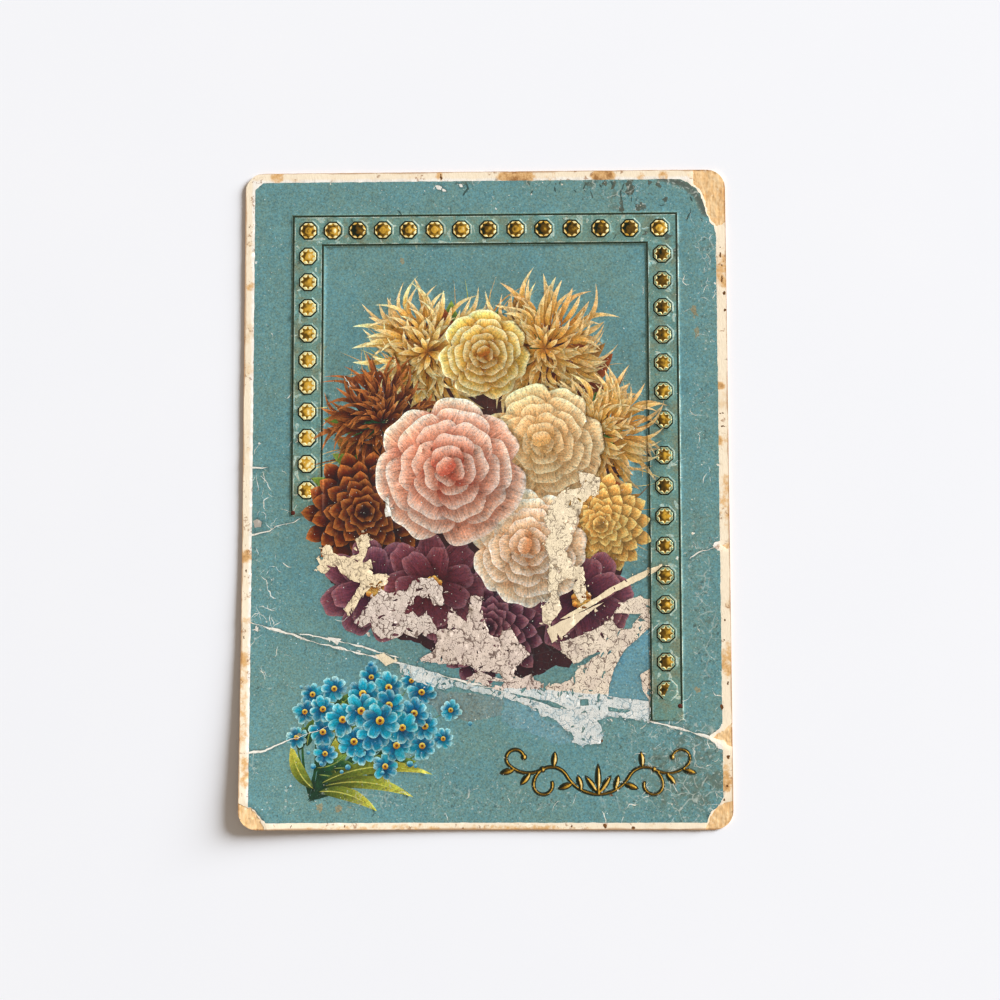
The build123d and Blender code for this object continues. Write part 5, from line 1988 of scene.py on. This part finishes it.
def bar_faces(lines, rows, flip):
    """Faces of a closed bar between lines of as many points, with an end face at each end."""
    faces = []
    for strip in range(lines):
        other = (strip + 1) % lines
        for i in range(rows - 1):
            faces.append((strip * rows + i, other * rows + i, other * rows + i + 1, strip * rows + i + 1))
    faces.append(tuple(strip * rows for strip in reversed(range(lines))))
    faces.append(tuple(strip * rows + rows - 1 for strip in range(lines)))
    return [face[::-1] for face in faces] if flip else faces


def build_rules(material, printed_over):
    """Two thin dark-gilt rules along the band's edges, each three sides of a box."""
    for name, half, top, sign, short in (("outer_rule", BAND_HALF, BAND_TOP, 1, RIGHT_RULE_SHORT),
                                         ("inner_rule", inner_half, inner_top, -1, 0.0)):
        places = []
        for offset, height in RULE_PROFILE:
            line = rule_line(half, top, sign * (RULE_INSET + offset), short)
            places.append(np.column_stack([line, height * (1 + 0.5 * wobble(line, 1.0, 4.0))]))
        faces = bar_faces(len(places), len(places[0]), sign < 0)
        tones = [np.zeros(len(places) * len(places[0]))]
        if sign > 0:
            side = half - RULE_INSET - RULE_DOT
            for middle in ((-side, rule_left_end + RULE_DOT), (side, rule_right_end + short + RULE_DOT)):
                faces += ring_faces(sum(map(len, places)), len(DOT_RINGS), DOT_STEPS)
                places.append(rule_dot(middle))
                tones.append(np.full(len(places[-1]), DOT_TONE))
        places = np.vstack(places)
        places[:, 2] -= RULE_SINK * inside_any(places[:, :2], printed_over)
        gilt_piece(name, places, np.concatenate(tones), faces, material, "gilt_" + name)


ORNAMENT_FOOT = 0.004
ORNAMENT_RISE = 0.06
ORNAMENT_SLOPE = 0.24
ORNAMENT_EDGE_STEP = 0.35
ORNAMENT_STEP = 0.16
ORNAMENT_CLEAR = 0.06
ORNAMENT_UNDER = 0.01
# Tone: in the middle, its painted light and shade, which change with the slope over a short probe, and the
# darker outline
ORNAMENT_TONE = 0.30
ORNAMENT_LIT = 4.2
ORNAMENT_PROBE = (0.06, 0)
ORNAMENT_OUTLINE = 0.02
ORNAMENT_OUTLINE_TONE = 0.2


def build_ornament(material):
    """The scroll, domed like pressed foil, with painted shade on the sides that face left and painted
    highlights on the others.
    """
    rings = [divided(ring, ORNAMENT_EDGE_STEP) for ring in node_outlines("gilt_ornament", 0.0)]
    plan = Plan()
    for ring in rings:
        plan.outline(ring)
    low, high = np.vstack(rings).min(axis=0), np.vstack(rings).max(axis=0)
    x, y = np.meshgrid(np.arange(low[0], high[0], ORNAMENT_STEP), np.arange(low[1], high[1], ORNAMENT_STEP))
    spread = np.column_stack([x.ravel(), y.ravel()])

    def within(points):
        return np.sum([inside(points, ring) for ring in rings], axis=0) % 2 == 1

    def depth(points):
        return np.min([line_distance(points, ring, closed=True) for ring in rings], axis=0)

    def thickness(points):
        return np.where(within(points), depth(points), 0)

    spread = spread[within(spread)]
    plan.scatter(spread[depth(spread) > ORNAMENT_CLEAR])
    points, faces = plan.triangles()
    faces = faces[within(points[faces].mean(axis=1))]
    deep = depth(points)
    top = PAPER_TOP + FILM + ORNAMENT_FOOT + ORNAMENT_RISE * smooth(deep, 0, ORNAMENT_SLOPE)
    bottom = np.full(len(points), PAPER_TOP + ORNAMENT_UNDER)
    slope = thickness(points - ORNAMENT_PROBE) - thickness(points + ORNAMENT_PROBE)
    # Painted highlight and shade: lighter where the slope faces right, darker where it faces left
    tone = np.clip(ORNAMENT_TONE + ORNAMENT_LIT * slope, 0.0, 1.0)
    tone = np.where(deep < ORNAMENT_OUTLINE, tone - ORNAMENT_OUTLINE_TONE, tone)
    piece = solid("scroll_ornament", points, faces, curl(points, top), curl(points, bottom))
    set_tones(piece.data, np.tile(tone[np.unique(faces)], 2))
    finish_piece(piece, material, "gilt", "gilt_ornament")


def dress_nodes():
    """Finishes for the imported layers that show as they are."""
    for node, material in (("rear_middle", core_material()), ("back_liner", back_paper_material()),
                           ("back_print", ink_material())):
        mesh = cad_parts[node].data
        mesh.materials.clear()
        mesh.materials.append(material)


# Studio, in metres

FLOOR_REACH = 1.5
KEY_FAR = 15.0
KEY_AZIMUTH = math.radians(28)
KEY_ELEVATION = math.radians(20)
KEY_SIZE = 8.4
KEY_POWER = 5030
KEY_COLOUR = (0.95, 1.0, 1.05)
# The world's light on the card, and what is seen of it directly and in reflections
FILL_LIGHT = (0.30, 0.25, 0.20, 1)
SEEN_BACKDROP = (0.95, 0.95, 0.95, 1)


def build_floor():
    mesh = bpy.data.meshes.new("floor")
    corners = [(x * FLOOR_REACH, y * FLOOR_REACH, 0) for x, y in ((-1, -1), (1, -1), (1, 1), (-1, 1))]
    mesh.from_pydata(corners, [], [(0, 1, 2, 3)])
    mesh.materials.append(floor_material())
    placed("floor", mesh)


def build_key():
    """One large soft lamp, low on the right."""
    key = bpy.data.lights.new("key", "AREA")
    key.shape = "DISK"
    key.size = KEY_SIZE
    key.energy = KEY_POWER
    key.color = KEY_COLOUR
    lamp = placed("key", key)
    level = direction(KEY_AZIMUTH) * math.cos(KEY_ELEVATION)
    lamp.location = KEY_FAR * Vector((*level, math.sin(KEY_ELEVATION)))
    lamp.rotation_euler = (-lamp.location).to_track_quat("-Z", "Y").to_euler()


def build_world():
    """A dim warm fill that is seen as a pale backdrop."""
    world = bpy.data.worlds.new("studio")
    bpy.context.scene.world = world
    world.use_nodes = True
    nodes = world.node_tree.nodes
    links = world.node_tree.links
    path = nodes.new("ShaderNodeLightPath")
    seen = path.outputs["Is Camera Ray"]
    for ray in ("Is Glossy Ray", "Is Transmission Ray"):
        either = nodes.new("ShaderNodeMath")
        either.operation = "MAXIMUM"
        links.new(seen, either.inputs[0])
        links.new(path.outputs[ray], either.inputs[1])
        seen = either.outputs[0]
    tint = nodes.new("ShaderNodeMix")
    tint.data_type = "RGBA"
    links.new(seen, tint.inputs[0])
    tint.inputs[6].default_value = FILL_LIGHT
    tint.inputs[7].default_value = SEEN_BACKDROP
    links.new(tint.outputs[2], nodes["Background"].inputs["Color"])


def build_camera():
    lens = bpy.data.cameras.new("camera")
    lens.sensor_width = SENSOR
    lens.lens = SENSOR * CAMERA_FOCUS / PICTURE_SIZE
    camera = placed("camera", lens)
    camera.matrix_world = Matrix.Translation(Vector(CAMERA_PLACE) * MM) @ camera_turn()
    bpy.context.scene.camera = camera
    bpy.context.scene.view_settings.view_transform = "Standard"


printed_picture = bouquet()
over_band = [shape.outline for shape in printed_picture
             if shape.rim_gain and np.abs(shape.outline[:, 0]).max() > inner_half]
build_front(printed_picture)
build_core()
gilt = gilt_material()
build_rosettes(gilt, over_band)
build_rules(rule_material(), over_band)
build_ornament(gilt)
dress_nodes()
build_floor()
build_key()
build_world()
build_camera()
